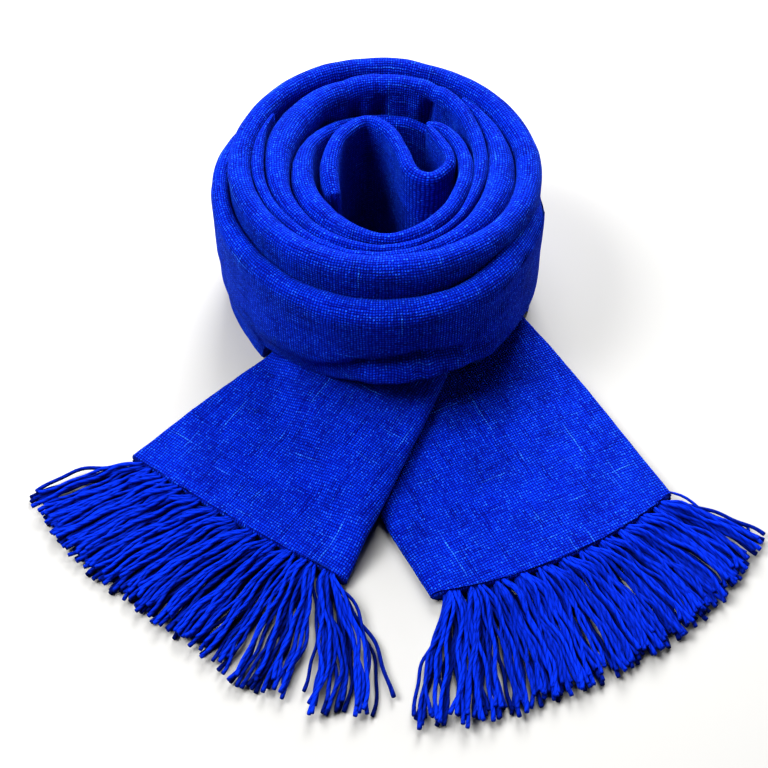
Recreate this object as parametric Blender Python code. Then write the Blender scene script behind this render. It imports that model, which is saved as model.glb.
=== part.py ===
"""A woven stole, folded lengthwise into a band and wound into an upright roll.

Both ends of the band leave under the front of the roll and lie flat on the surface,
the left one over the right one, each with a fringe. Every stretch of cloth that shows
is one closed solid. Sizes are in millimetres round the roll's upright axis, with -Y
to the front, and the finished part stands with the centre of its foot on the origin.
"""

import math
import random
from collections import namedtuple

import bmesh
import bpy
from mathutils import Vector

MM = 0.001

# The folded band: six layers of cloth, and the gap left between neighbouring stretches.
BAND_THICKNESS = 6.6
SEAM_GAP = 0.3

# The roll is drawn at stations this many degrees apart. The open turns run clockwise,
# seen from above, between these azimuths.
STATION_STEP = 10
OUTER_ENDS = (-20.0, -330.0)
THIRD_ENDS = (50.0, -230.0)
FIFTH_ENDS = (50.0, -310.0)
FULL_TURN = (360.0, 0.0)

# One row for each twelfth of the roll. The first five columns are the radii of the
# grooves between the turns, from the outside in. The next four are the heights of the
# crests. tuck is how far the foot of the outer turn draws in under its side.
RollRow = namedtuple(
    "RollRow",
    "azimuth outside lap tall split inner lap_top tall_top split_top inner_top tuck",
)
ROLL_ROWS = (
    RollRow(0, 66.8, 64.9, 54.0, 42.6, 36.9, 60.0, 76.0, 74.5, 73.5, 0.3),
    RollRow(30, 67.0, 63.4, 53.0, 46.4, 38.8, 52.0, 76.5, 74.0, 74.5, 0.5),
    RollRow(60, 68.0, 63.4, 54.2, 53.0, 45.2, 50.0, 77.0, 72.0, 75.5, 1.0),
    RollRow(90, 70.5, 65.4, 56.0, 55.9, 45.8, 52.0, 77.0, 70.0, 76.0, 1.5),
    RollRow(120, 71.5, 66.2, 56.6, 55.6, 43.2, 56.0, 77.0, 72.0, 75.5, 1.5),
    RollRow(150, 72.2, 66.0, 55.6, 50.2, 39.4, 62.0, 76.5, 75.0, 75.0, 1.5),
    RollRow(180, 73.0, 65.4, 55.5, 49.9, 39.4, 65.0, 76.0, 75.0, 75.0, 2.0),
    RollRow(210, 73.8, 64.4, 54.2, 49.8, 42.4, 65.0, 76.0, 74.0, 73.5, 3.0),
    RollRow(240, 77.0, 65.6, 54.5, 49.5, 44.9, 65.0, 76.5, 72.5, 72.0, 4.0),
    RollRow(270, 80.0, 66.6, 53.9, 49.0, 44.7, 65.0, 77.0, 71.5, 71.0, 4.5),
    RollRow(300, 77.0, 66.0, 54.0, 46.0, 42.5, 66.0, 76.5, 73.0, 71.5, 4.0),
    RollRow(330, 70.8, 65.6, 54.8, 42.8, 38.3, 68.0, 76.0, 74.5, 73.0, 2.0),
)

# The fifth turn is a spiral. It starts at the tip of the centre loop and runs round
# the front and the left, then drops and tucks in behind its own start.
SpiralRow = namedtuple("SpiralRow", "azimuth inside outside top")
FIFTH_ROWS = (
    SpiralRow(50, 31.9, 35.0, 69.5),
    SpiralRow(30, 30.7, 36.3, 72.5),
    SpiralRow(0, 30.4, 36.6, 73.0),
    SpiralRow(-30, 31.6, 38.0, 73.0),
    SpiralRow(-60, 35.0, 42.2, 72.5),
    SpiralRow(-90, 37.8, 44.4, 72.0),
    SpiralRow(-120, 36.0, 44.5, 72.0),
    SpiralRow(-150, 32.2, 42.0, 72.5),
    SpiralRow(-180, 30.2, 39.1, 72.5),
    SpiralRow(-210, 32.0, 38.7, 70.0),
    SpiralRow(-240, 35.2, 41.6, 65.0),
    SpiralRow(-270, 37.0, 43.6, 62.0),
    SpiralRow(-290, 37.8, 43.0, 61.0),
    SpiralRow(-310, 38.2, 40.9, 58.0),
)

# The centre loop: crest points of the innermost strip, from its left end round the
# back to the hook and its pointed tip, with the strip's thickness and crest height.
LoopRow = namedtuple("LoopRow", "x y thickness top")
LOOP_ROWS = (
    LoopRow(-23.5, -17.5, 4.0, 70.0),
    LoopRow(-25.9, -6.0, 6.4, 73.0),
    LoopRow(-26.0, 6.0, 6.4, 74.0),
    LoopRow(-20.5, 21.5, 6.6, 74.0),
    LoopRow(-9.0, 29.5, 6.8, 73.0),
    LoopRow(1.0, 25.0, 6.8, 72.5),
    LoopRow(7.0, 15.0, 6.8, 72.0),
    LoopRow(12.5, 2.0, 6.8, 71.0),
    LoopRow(19.5, -3.6, 6.6, 70.5),
    LoopRow(25.4, 1.5, 6.2, 71.0),
    LoopRow(25.6, 9.0, 6.0, 71.5),
    LoopRow(21.6, 17.0, 5.4, 71.5),
    LoopRow(17.6, 25.0, 3.0, 70.5),
)

# The laid ends: where each edge runs, from the hem to the end hidden under the roll.
TailRow = namedtuple("TailRow", "along outer_x outer_y inner_x inner_y")
LEFT_ROWS = (
    TailRow(0.00, -104.0, -101.0, -16.0, -160.5),
    TailRow(0.35, -80.0, -77.0, -2.6, -131.7),
    TailRow(0.70, -58.0, -55.5, 16.0, -88.0),
    TailRow(1.00, -38.0, -36.0, 33.0, -44.0),
)
RIGHT_ROWS = (
    TailRow(0.00, 113.6, -121.0, 16.4, -167.0),
    TailRow(0.35, 95.0, -86.5, -2.0, -131.0),
    TailRow(0.70, 77.0, -53.5, -16.5, -92.0),
    TailRow(1.00, 58.0, -22.0, -27.0, -50.0),
)
LEFT_HEM_BOW = 2.0
RIGHT_HEM_BOW = 8.0
HEM_BOW_FADE = 0.5

# The left end climbs over the right one between these distances from its edge, and
# the roll's foot lifts over both ends in the same way.
CLIMB_START = 26.0
CLIMB_END = 8.0
FOOT_START = 17.0
FOOT_END = 6.0

# The folded selvedges on each end's outer edge show as three uneven layers.
LAYER_COUNT = 3
LAYER_STEP_BACK = (0.0, 1.3, 0.5)
LAYER_GROOVE = 1.6
LAYER_FLAT = 0.5

# Stations between two rows of the centre loop, and the grids of the laid ends.
LOOP_STEPS = 3
LEFT_CELLS = 13
LEFT_RUNS = 16
RIGHT_CELLS = 11
RIGHT_RUNS = 9

# Rounding of the upright sections. The shares are of half the thickness and all of it.
CREST_STEPS = 6
CREST_RISE_LIMIT = 6.5
CREST_RISE_SHARE = 1.1
FOOT_ROUND = 1.6
FOOT_ROUND_SHARE = 0.35
TUCK_HEIGHT = 26.0

# The soft crease low on the front of the outer turn.
CREASE_HEIGHT = 21.0
CREASE_WIDTH = 3.5
CREASE_DEPTH = 2.2
CREASE_CENTRE = 268.0
CREASE_SPAN = 48.0
OUTER_SIDE_LEVELS = (0.80, 0.58, 0.42, 0.32, 0.23, 0.14, 0.0)

# The fringe: bundles along the hem, each with a lower and an upper row of locks.
BUNDLES = 11
LOCKS_ACROSS = 3
LOCK_ROWS = 2
LOCK_SEGMENTS = 4
BUNDLE_GAP = 0.14
STRIP_DEPTH = 1.8
STRIP_HEIGHT = 6.2
STRIP_END = 0.012
STRIP_BUNDLES = BUNDLES - BUNDLE_GAP
LOCK_WIDTH = 2.35
LOCK_HEIGHT = 2.2
LOCK_TIP_SPREAD = 1.35
LOWER_HEIGHT = 1.65
UPPER_HEIGHT = 4.5
UPPER_ARCH = 1.1
LOCK_SWAY = 0.35
LOCK_INSET = 0.35
LOCK_LENGTH_RANGE = (0.93, 1.05)
HEM_STEP = 0.01

# Headings and length of the locks at the outer corner, the middle and the inner corner.
FanRow = namedtuple("FanRow", "along root_heading tip_heading length")
LEFT_FAN = (
    FanRow(0.0, 203.0, 212.0, 45.0),
    FanRow(0.5, 234.0, 238.0, 50.0),
    FanRow(1.0, 297.0, 275.0, 54.0),
)
RIGHT_FAN = (
    FanRow(0.0, 330.0, 322.0, 42.0),
    FanRow(0.5, 298.0, 296.0, 45.0),
    FanRow(1.0, 242.0, 262.0, 49.0),
)

BLUE = (0.012, 0.045, 0.52, 1.0)
CLOTH_ROUGHNESS = 0.9
SHARP_ANGLE = math.radians(50.0)
WELD = 0.001


def clear_scene():
    """Remove every object that the scene starts with."""
    for item in list(bpy.data.objects):
        bpy.data.objects.remove(item, do_unlink=True)


def smooth(value):
    """Ease from 0 to 1 with no slope at either end."""
    held = min(max(value, 0.0), 1.0)
    return held * held * (3.0 - 2.0 * held)


def hermite(before, start, end, after, part):
    """Cubic blend between two values whose slopes follow their neighbours."""
    slope_start = (end - before) / 2.0
    slope_end = (after - start) / 2.0
    square = part * part
    cube = square * part
    return (
        (2.0 * cube - 3.0 * square + 1.0) * start
        + (cube - 2.0 * square + part) * slope_start
        + (3.0 * square - 2.0 * cube) * end
        + (cube - square) * slope_end
    )


def blend_rows(rows, position, closed=False):
    """Read a table at a fractional row number and return a row of its own kind."""
    count = len(rows)
    first = math.floor(position)
    if closed:
        picks = [rows[(first + step) % count] for step in (-1, 0, 1, 2)]
    else:
        first = min(max(first, 0), count - 2)
        picks = [rows[min(max(first + step, 0), count - 1)] for step in (-1, 0, 1, 2)]
    part = position - first
    return type(rows[0])(*(hermite(*values, part) for values in zip(*picks)))


def roll_row(azimuth):
    """Grooves and crests of the roll at one azimuth."""
    return blend_rows(ROLL_ROWS, (azimuth % 360) * len(ROLL_ROWS) / 360.0, closed=True)


def row_position(rows, column, value):
    """Row number at which a falling or rising column reaches a value."""
    for index in range(len(rows) - 1):
        start = getattr(rows[index], column)
        end = getattr(rows[index + 1], column)
        if min(start, end) <= value <= max(start, end):
            return index + (value - start) / (end - start)
    raise ValueError("the table does not reach that value")


def polar(radius, azimuth, height):
    """Point at a radius and azimuth round the roll's axis."""
    angle = math.radians(azimuth)
    return Vector((radius * math.cos(angle), radius * math.sin(angle), height))


def tail_outline(rows):
    """Corners of a laid end's footprint, round from the hem's outer corner."""
    outer = [Vector((row.outer_x, row.outer_y)) for row in rows]
    inner = [Vector((row.inner_x, row.inner_y)) for row in rows]
    return outer + inner[::-1]


def depth_inside(outline, x, y):
    """Distance inside a convex outline, negative outside it."""
    centre = sum(outline, Vector((0.0, 0.0))) / len(outline)
    depths = []
    for start, end in zip(outline, outline[1:] + outline[:1]):
        edge = (end - start).normalized()
        normal = Vector((-edge.y, edge.x))
        if normal.dot(centre - start) < 0.0:
            normal.negate()
        depths.append(normal.dot(Vector((x, y)) - start))
    return min(depths)


LEFT_OUTLINE = tail_outline(LEFT_ROWS)
RIGHT_OUTLINE = tail_outline(RIGHT_ROWS)


def left_base(x, y):
    """Height at which the underside of the left end lies, over the right end."""
    depth = depth_inside(RIGHT_OUTLINE, x, y)
    rise = smooth((depth + CLIMB_START) / (CLIMB_START - CLIMB_END))
    return rise * (BAND_THICKNESS + SEAM_GAP)


def flat_base(x, y):
    """Height of the underside of an end that lies flat on the surface."""
    return 0.0


def foot_height(x, y):
    """Height at which the foot of the roll rests, on the surface or on the ends."""
    span = FOOT_START - FOOT_END
    on_right = smooth((depth_inside(RIGHT_OUTLINE, x, y) + FOOT_START) / span)
    on_left = smooth((depth_inside(LEFT_OUTLINE, x, y) + FOOT_START) / span)
    step = BAND_THICKNESS + SEAM_GAP
    return max(on_right * step, on_left * (step + left_base(x, y)))


def new_object(name, bm):
    """Turn a bmesh in millimetres into a closed, smooth object with its own cloth."""
    bmesh.ops.scale(bm, vec=(MM, MM, MM), verts=bm.verts)
    bmesh.ops.recalc_face_normals(bm, faces=bm.faces)
    mesh = bpy.data.meshes.new(name)
    bm.to_mesh(mesh)
    bm.free()
    mesh.shade_smooth()
    mesh.set_sharp_from_angle(angle=SHARP_ANGLE)
    material = bpy.data.materials.new(name + "_cloth")
    material.use_nodes = True
    shader = material.node_tree.nodes["Principled BSDF"]
    shader.inputs["Base Color"].default_value = BLUE
    shader.inputs["Roughness"].default_value = CLOTH_ROUGHNESS
    shader.inputs["Metallic"].default_value = 0.0
    mesh.materials.append(material)
    made = bpy.data.objects.new(name, mesh)
    bpy.context.scene.collection.objects.link(made)
    return made


def wrap_grid(sections, closed):
    """Wrap a grid round a list of closed sections and weld its seams."""
    around = len(sections[0])
    runs = len(sections) if closed else len(sections) - 1
    bm = bmesh.new()
    bmesh.ops.create_grid(bm, x_segments=around, y_segments=runs, size=0.5)
    for vert in bm.verts:
        point = round((vert.co.x + 0.5) * around) % around
        section = round((vert.co.y + 0.5) * runs) % len(sections)
        vert.co = sections[section][point]
    bmesh.ops.remove_doubles(bm, verts=bm.verts, dist=WELD)
    return bm


def sweep_sections(name, sections, closed):
    """Make one solid from closed sections, with flat caps where it ends."""
    bm = wrap_grid(sections, closed)
    rims = [edge for edge in bm.edges if edge.is_boundary]
    bmesh.ops.holes_fill(bm, edges=rims, sides=0)
    return new_object(name, bm)


def crest_points(inner, outer, top):
    """Shoulders and rounded crest of an upright section, as (radius, height)."""
    half = (outer - inner) / 2.0
    middle = (outer + inner) / 2.0
    rise = min(half * CREST_RISE_SHARE, CREST_RISE_LIMIT)
    points = []
    for step in range(CREST_STEPS + 1):
        angle = math.pi * step / CREST_STEPS
        points.append((middle - half * math.cos(angle), top - rise + rise * math.sin(angle)))
    return points


def upright_section(inner, outer, top, foot, side_levels=(), side_inset=None):
    """Section of one turn: up the inside, over the crest and down the outside."""
    crest = crest_points(inner, outer, top)
    shoulder = crest[0][1]
    edge = min(FOOT_ROUND, (outer - inner) * FOOT_ROUND_SHARE)
    points = [(inner, foot + edge), (inner, (foot + shoulder) / 2.0)] + crest
    if side_levels:
        for level in side_levels:
            height = foot + edge + (shoulder - foot - edge) * level
            points.append((outer - side_inset(height - foot), height))
    else:
        points.append((outer, (foot + shoulder) / 2.0))
        points.append((outer, foot + edge))
    last = points[-1][0]
    points.append((last - edge, foot))
    points.append((inner + edge, foot))
    return points


def turn_foot(inner, outer, azimuth):
    """Height of a turn's foot, clear of all that lies near one station."""
    near = []
    for turned in (-STATION_STEP, 0.0, STATION_STEP):
        for radius in (inner, (inner + outer) / 2.0, outer):
            place = polar(radius, azimuth + turned / 2.0, 0.0)
            near.append(foot_height(place.x, place.y))
    return max(near)


def turn_sections(azimuths, read, side_levels=(), side_inset=None):
    """Sections of a turn, each lifted over whatever lies under its foot."""
    sections = []
    for azimuth in azimuths:
        inner, outer, top = read(azimuth)
        foot = turn_foot(inner, outer, azimuth)
        inset = None
        if side_inset:
            inset = side_inset(azimuth)
        profile = upright_section(inner, outer, top, foot, side_levels, inset)
        sections.append([polar(radius, azimuth, height) for radius, height in profile])
    return sections


def azimuth_steps(start, end):
    """Station azimuths from start down to end, clockwise seen from above."""
    count = round((start - end) / STATION_STEP)
    return [start + (end - start) * step / count for step in range(count + 1)]


def outer_turn():
    """The last half turn, lower than the rest and lapped on the front of the roll."""

    def read(azimuth):
        row = roll_row(azimuth)
        return row.lap + SEAM_GAP / 2.0, row.outside, row.lap_top

    def side_inset(azimuth):
        row = roll_row(azimuth)
        away = abs((azimuth - CREASE_CENTRE + 180.0) % 360.0 - 180.0)
        crease = CREASE_DEPTH * (1.0 - smooth(away / CREASE_SPAN))

        def inset(above):
            drawn_in = row.tuck * (1.0 - smooth(above / TUCK_HEIGHT))
            off = (above - CREASE_HEIGHT + BAND_THICKNESS) / CREASE_WIDTH
            return drawn_in + crease * math.exp(-off * off)

        return inset

    steps = azimuth_steps(*OUTER_ENDS)
    sections = turn_sections(steps, read, OUTER_SIDE_LEVELS, side_inset)
    return sweep_sections("outer_turn", sections, closed=False)


def second_turn():
    """The tall full turn inside the outer one."""

    def read(azimuth):
        row = roll_row(azimuth)
        return row.tall + SEAM_GAP / 2.0, row.lap - SEAM_GAP / 2.0, row.tall_top

    steps = azimuth_steps(*FULL_TURN)[:-1]
    return sweep_sections("second_turn", turn_sections(steps, read), closed=True)


def third_turn():
    """The turn that parts from the next one at the right, front and left."""

    def read(azimuth):
        row = roll_row(azimuth)
        return row.split + SEAM_GAP / 2.0, row.tall - SEAM_GAP / 2.0, row.split_top

    steps = azimuth_steps(*THIRD_ENDS)
    return sweep_sections("third_turn", turn_sections(steps, read), closed=False)


def fourth_turn():
    """The full turn whose tall back wall rises behind the empty middle."""

    def read(azimuth):
        row = roll_row(azimuth)
        return row.inner + SEAM_GAP / 2.0, row.split - SEAM_GAP / 2.0, row.inner_top

    steps = azimuth_steps(*FULL_TURN)[:-1]
    return sweep_sections("fourth_turn", turn_sections(steps, read), closed=True)


def fifth_turn():
    """The spiral round the empty middle."""

    def read(azimuth):
        row = blend_rows(FIFTH_ROWS, row_position(FIFTH_ROWS, "azimuth", azimuth))
        return row.inside, row.outside, row.top

    steps = azimuth_steps(*FIFTH_ENDS)
    return sweep_sections("fifth_turn", turn_sections(steps, read), closed=False)


def centre_loop():
    """The innermost strip: a loop on the left and back, and the hook at its end."""
    stations = LOOP_STEPS * (len(LOOP_ROWS) - 1)
    rows = [blend_rows(LOOP_ROWS, step / LOOP_STEPS) for step in range(stations + 1)]
    sections = []
    for index, row in enumerate(rows):
        before = rows[max(index - 1, 0)]
        after = rows[min(index + 1, stations)]
        ahead = Vector((after.x - before.x, after.y - before.y, 0.0)).normalized()
        across = Vector((-ahead.y, ahead.x, 0.0))
        centre = Vector((row.x, row.y, 0.0))
        half = row.thickness / 2.0
        profile = upright_section(-half, half, row.top, foot_height(row.x, row.y))
        up = Vector((0.0, 0.0, 1.0))
        sections.append([centre + across * aside + up * height for aside, height in profile])
    return sweep_sections("centre_loop", sections, closed=False)


def tail_point(rows, bow, across, along):
    """Plan position on a laid end, across from its outer to its inner edge."""
    columns = [row.along for row in rows]
    index = max(step for step in range(len(rows) - 1) if columns[step] <= along + 1e-9)
    part = (along - columns[index]) / (columns[index + 1] - columns[index])
    row = blend_rows(rows, index + part)
    outer = Vector((row.outer_x, row.outer_y))
    inner = Vector((row.inner_x, row.inner_y))
    chord = inner - outer
    outward = Vector((chord.y, -chord.x)).normalized()
    if outward.y > 0.0:
        outward.negate()
    bulge = bow * 4.0 * across * (1.0 - across) * (1.0 - smooth(along / HEM_BOW_FADE))
    return outer.lerp(inner, across) + outward * bulge


def tail_section(rows, bow, base, along, cells):
    """Section across a laid end: top, soft fold, underside and layered edge."""
    outer = tail_point(rows, bow, 0.0, along)
    inner = tail_point(rows, bow, 1.0, along)
    width = (inner - outer).length
    half = BAND_THICKNESS / 2.0
    points = []

    def add(aside, height):
        across = aside / width
        plan = tail_point(rows, bow, across, along)
        lift = base(plan.x, plan.y)
        points.append(Vector((plan.x, plan.y, lift + height)))

    first = LAYER_GROOVE
    last = width - half
    for cell in range(cells + 1):
        add(first + (last - first) * cell / cells, BAND_THICKNESS)
    for step in (1, 2, 3):
        angle = math.pi * step / 4.0
        add(last + half * math.sin(angle), half + half * math.cos(angle))
    for cell in range(cells, -1, -1):
        add(first + (last - first) * cell / cells, 0.0)
    layer = BAND_THICKNESS / LAYER_COUNT
    for index, back in enumerate(LAYER_STEP_BACK):
        add(back, layer * (index + 0.5 - LAYER_FLAT / 2.0))
        add(back, layer * (index + 0.5 + LAYER_FLAT / 2.0))
        if index < LAYER_COUNT - 1:
            add(LAYER_GROOVE + back, layer * (index + 1))
    return points


def rim_chain(bm, points):
    """Open edges that join a run of points at the end of a wrapped grid."""
    spots = {tuple(round(value, 3) for value in point) for point in points}
    chain = []
    for edge in bm.edges:
        ends = [tuple(round(value, 3) for value in vert.co) for vert in edge.verts]
        if edge.is_boundary and all(end in spots for end in ends):
            chain.append(edge)
    return chain


def laid_end(name, rows, bow, base, cells, runs):
    """One laid end of the band, from its hem to where the roll hides it."""
    sections = [tail_section(rows, bow, base, step / runs, cells) for step in range(runs + 1)]
    bm = wrap_grid(sections, closed=False)
    for section in (sections[0], sections[-1]):
        upper = rim_chain(bm, section[: cells + 1])
        lower = rim_chain(bm, section[cells + 4 : 2 * cells + 5])
        bmesh.ops.bridge_loops(bm, edges=upper + lower)
    rims = [edge for edge in bm.edges if edge.is_boundary]
    bmesh.ops.holes_fill(bm, edges=rims, sides=0)
    return new_object(name, bm)


def left_tail():
    """The end that lies to the front left, over the other one."""
    return laid_end("left_tail", LEFT_ROWS, LEFT_HEM_BOW, left_base, LEFT_CELLS, LEFT_RUNS)


def right_tail():
    """The end that lies to the front right, flat on the surface."""
    return laid_end("right_tail", RIGHT_ROWS, RIGHT_HEM_BOW, flat_base, RIGHT_CELLS, RIGHT_RUNS)


def hem_frame(rows, bow, along):
    """Place on the hem and its outward direction."""
    here = tail_point(rows, bow, along, 0.0)
    ahead = tail_point(rows, bow, min(along + HEM_STEP, 1.0), 0.0)
    behind = tail_point(rows, bow, max(along - HEM_STEP, 0.0), 0.0)
    inward_edge = (ahead - behind).normalized()
    outward = Vector((inward_edge.y, -inward_edge.x))
    if outward.y > 0.0:
        outward.negate()
    return here, outward


def lock_path(rows, bow, fan, along, upper, chance):
    """Centres and sideways directions of one lock, from its root to its tip."""
    here, outward = hem_frame(rows, bow, along)
    root = here + outward * (SEAM_GAP + STRIP_DEPTH)
    row = blend_rows(fan, along * (len(fan) - 1))
    length = row.length * chance.uniform(*LOCK_LENGTH_RANGE)
    sway = chance.uniform(-LOCK_SWAY, LOCK_SWAY)
    path = []
    place = root.copy()
    for step in range(1, LOCK_SEGMENTS + 1):
        part = step / LOCK_SEGMENTS
        heading = math.radians(row.root_heading + (row.tip_heading - row.root_heading) * part)
        direction = Vector((math.cos(heading), math.sin(heading)))
        place = place + direction * length / LOCK_SEGMENTS
        sideways = Vector((-direction.y, direction.x))
        shifted = place + sideways * sway * math.sin(part * math.tau)
        height = LOWER_HEIGHT
        if upper:
            height = UPPER_HEIGHT + UPPER_ARCH * math.sin(part * math.pi)
        path.append((shifted, sideways, height, part))
    return path


def column_along(column):
    """Share of the hem at one edge of the strip's cells, bundle by bundle."""
    bundle, cell = divmod(column, LOCKS_ACROSS + 1)
    within = (1.0 - BUNDLE_GAP) * cell / LOCKS_ACROSS
    return STRIP_END + (1.0 - 2.0 * STRIP_END) * (bundle + within) / STRIP_BUNDLES


def fringe(name, rows, bow, fan, seed):
    """A backing strip along the hem and the locks that leave it, in one solid."""
    chance = random.Random(seed)
    columns = BUNDLES * (LOCKS_ACROSS + 1) - 1
    bm = bmesh.new()
    bmesh.ops.create_grid(bm, x_segments=columns, y_segments=LOCK_ROWS, size=0.5)
    cells = []
    for face in bm.faces:
        centre = face.calc_center_median()
        column = math.floor((centre.x + 0.5) * columns)
        if column % (LOCKS_ACROSS + 1) < LOCKS_ACROSS:
            along = (column_along(column) + column_along(column + 1)) / 2.0
            cells.append((face, along, centre.y > 0.0))
    corners = list(bm.verts)
    places = []
    for vert in corners:
        along = column_along(round((vert.co.x + 0.5) * columns))
        level = round((vert.co.y + 0.5) * LOCK_ROWS) / LOCK_ROWS
        here, outward = hem_frame(rows, bow, along)
        places.append((here, outward, STRIP_HEIGHT * level))
    drawn = bmesh.ops.extrude_face_region(bm, geom=list(bm.faces), use_keep_orig=True)
    backs = [item for item in drawn["geom"] if isinstance(item, bmesh.types.BMVert)]
    for vert, (here, outward, level) in zip(corners, places):
        front = here + outward * (SEAM_GAP + STRIP_DEPTH)
        vert.co = Vector((front.x, front.y, level))
    for vert in backs:
        column = round((vert.co.x + 0.5) * columns)
        level = round((vert.co.y + 0.5) * LOCK_ROWS) / LOCK_ROWS
        here, outward = hem_frame(rows, bow, column_along(column))
        near = here + outward * SEAM_GAP
        vert.co = Vector((near.x, near.y, STRIP_HEIGHT * level))
    for face, along, upper in cells:
        grow_lock(bm, face, lock_path(rows, bow, fan, along, upper, chance))
    return new_object(name, bm)


def grow_lock(bm, cell, path):
    """Inset a cell of the strip and draw it out along a lock's path."""
    bmesh.ops.inset_individual(bm, faces=[cell], thickness=LOCK_INSET, use_even_offset=True)
    face = cell
    for place, sideways, height, part in path:
        made = bmesh.ops.extrude_discrete_faces(bm, faces=[face])
        face = made["faces"][0]
        centre = face.calc_center_median()
        corners = sorted(face.verts, key=lambda vert: vert.co.z)
        half_width = LOCK_WIDTH / 2.0 * (1.0 + (LOCK_TIP_SPREAD - 1.0) * part)
        for index, vert in enumerate(corners):
            lift = -LOCK_HEIGHT / 2.0 if index < 2 else LOCK_HEIGHT / 2.0
            offset = vert.co - centre
            side = 1.0 if offset.x * sideways.x + offset.y * sideways.y > 0.0 else -1.0
            plan = place + sideways * side * half_width
            vert.co = Vector((plan.x, plan.y, height + lift))


def left_fringe():
    """Fringe of the left hem."""
    return fringe("left_fringe", LEFT_ROWS, LEFT_HEM_BOW, LEFT_FAN, seed=4)


def right_fringe():
    """Fringe of the right hem."""
    return fringe("right_fringe", RIGHT_ROWS, RIGHT_HEM_BOW, RIGHT_FAN, seed=9)


def stand_on_origin(pieces):
    """Move all pieces so that the middle of the part's foot is at the origin."""
    points = [vert.co for piece in pieces for vert in piece.data.vertices]
    lowest = Vector([min(point[axis] for point in points) for axis in range(3)])
    highest = Vector([max(point[axis] for point in points) for axis in range(3)])
    centre = (lowest + highest) / 2.0
    for piece in pieces:
        piece.location = (-centre.x, -centre.y, -lowest.z)


def main():
    """Build the stole."""
    clear_scene()
    makers = (
        outer_turn,
        second_turn,
        third_turn,
        fourth_turn,
        fifth_turn,
        centre_loop,
        left_tail,
        right_tail,
        left_fringe,
        right_fringe,
    )
    stand_on_origin([make() for make in makers])


main()
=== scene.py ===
"""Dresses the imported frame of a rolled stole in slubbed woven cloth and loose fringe.

Sizes in the tables are in millimetres round the roll's upright axis, with -Y to the
front. Every piece is placed in metres where the frame has the solid that it stands for.
"""

import math
import random
from collections import namedtuple
from functools import partial

import bmesh
import bpy
from mathutils import Matrix, Vector, noise


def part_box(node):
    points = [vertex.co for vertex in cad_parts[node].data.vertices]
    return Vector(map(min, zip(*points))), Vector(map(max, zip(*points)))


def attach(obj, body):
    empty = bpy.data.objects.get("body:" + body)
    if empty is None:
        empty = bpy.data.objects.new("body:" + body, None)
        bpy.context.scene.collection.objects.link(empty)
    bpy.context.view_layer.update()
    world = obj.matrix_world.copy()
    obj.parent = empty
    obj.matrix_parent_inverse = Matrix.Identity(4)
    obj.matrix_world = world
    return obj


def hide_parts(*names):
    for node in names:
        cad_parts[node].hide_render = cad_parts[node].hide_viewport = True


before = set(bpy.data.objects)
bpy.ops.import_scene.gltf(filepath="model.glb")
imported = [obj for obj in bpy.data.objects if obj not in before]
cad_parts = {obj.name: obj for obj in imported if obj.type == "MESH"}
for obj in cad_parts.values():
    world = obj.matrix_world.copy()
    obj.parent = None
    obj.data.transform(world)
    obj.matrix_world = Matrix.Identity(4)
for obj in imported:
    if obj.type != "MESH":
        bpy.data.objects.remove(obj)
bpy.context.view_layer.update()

bl_info = {
    "name": "Rolled Stole",
    "version": (1, 0, 0),
    "blender": (4, 5, 0),
    "location": "View3D > Sidebar > Stole",
    "description": "Woven cloth and fringe for a rolled stole with two laid ends",
    "category": "Object",
}

MM = 0.001

# The folded band, and the gap left between neighbouring stretches of it.
BAND_THICKNESS = 6.6
SEAM_GAP = 0.3

# One row for each twelfth of the roll: radii of the grooves between the turns, from the
# outside in, then the heights of the crests, then how far the outer turn's foot tucks in.
RollRow = namedtuple(
    "RollRow",
    "azimuth outside lap tall split inner lap_top tall_top split_top inner_top tuck",
)
ROLL_ROWS = (
    RollRow(0, 66.8, 64.9, 54.0, 42.6, 36.9, 60.0, 76.0, 74.5, 73.5, 0.3),
    RollRow(30, 67.0, 63.4, 53.0, 46.4, 38.8, 52.0, 76.5, 74.0, 74.5, 0.5),
    RollRow(60, 68.0, 63.4, 54.2, 53.0, 45.2, 50.0, 77.0, 72.0, 75.5, 1.0),
    RollRow(90, 70.5, 65.4, 56.0, 55.9, 45.8, 52.0, 77.0, 70.0, 76.0, 1.5),
    RollRow(120, 71.5, 66.2, 56.6, 55.6, 43.2, 56.0, 77.0, 72.0, 75.5, 1.5),
    RollRow(150, 72.2, 66.0, 55.6, 53.8, 39.4, 62.0, 76.5, 75.0, 75.0, 1.5),
    RollRow(180, 73.0, 65.4, 55.5, 50.2, 39.4, 65.0, 76.0, 75.0, 75.0, 2.0),
    RollRow(210, 73.8, 64.4, 54.2, 49.8, 41.4, 65.0, 76.0, 74.0, 73.5, 4.5),
    RollRow(240, 77.0, 65.6, 54.5, 49.5, 43.5, 65.0, 76.5, 72.5, 72.0, 6.0),
    RollRow(270, 80.0, 66.6, 53.9, 49.0, 44.7, 65.0, 77.0, 71.5, 71.0, 10.0),
    RollRow(300, 77.0, 66.0, 54.0, 46.0, 42.5, 66.0, 76.5, 73.0, 71.5, 10.0),
    RollRow(330, 70.8, 65.6, 54.8, 42.8, 38.3, 68.0, 76.0, 74.5, 73.0, 5.4),
)

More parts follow.
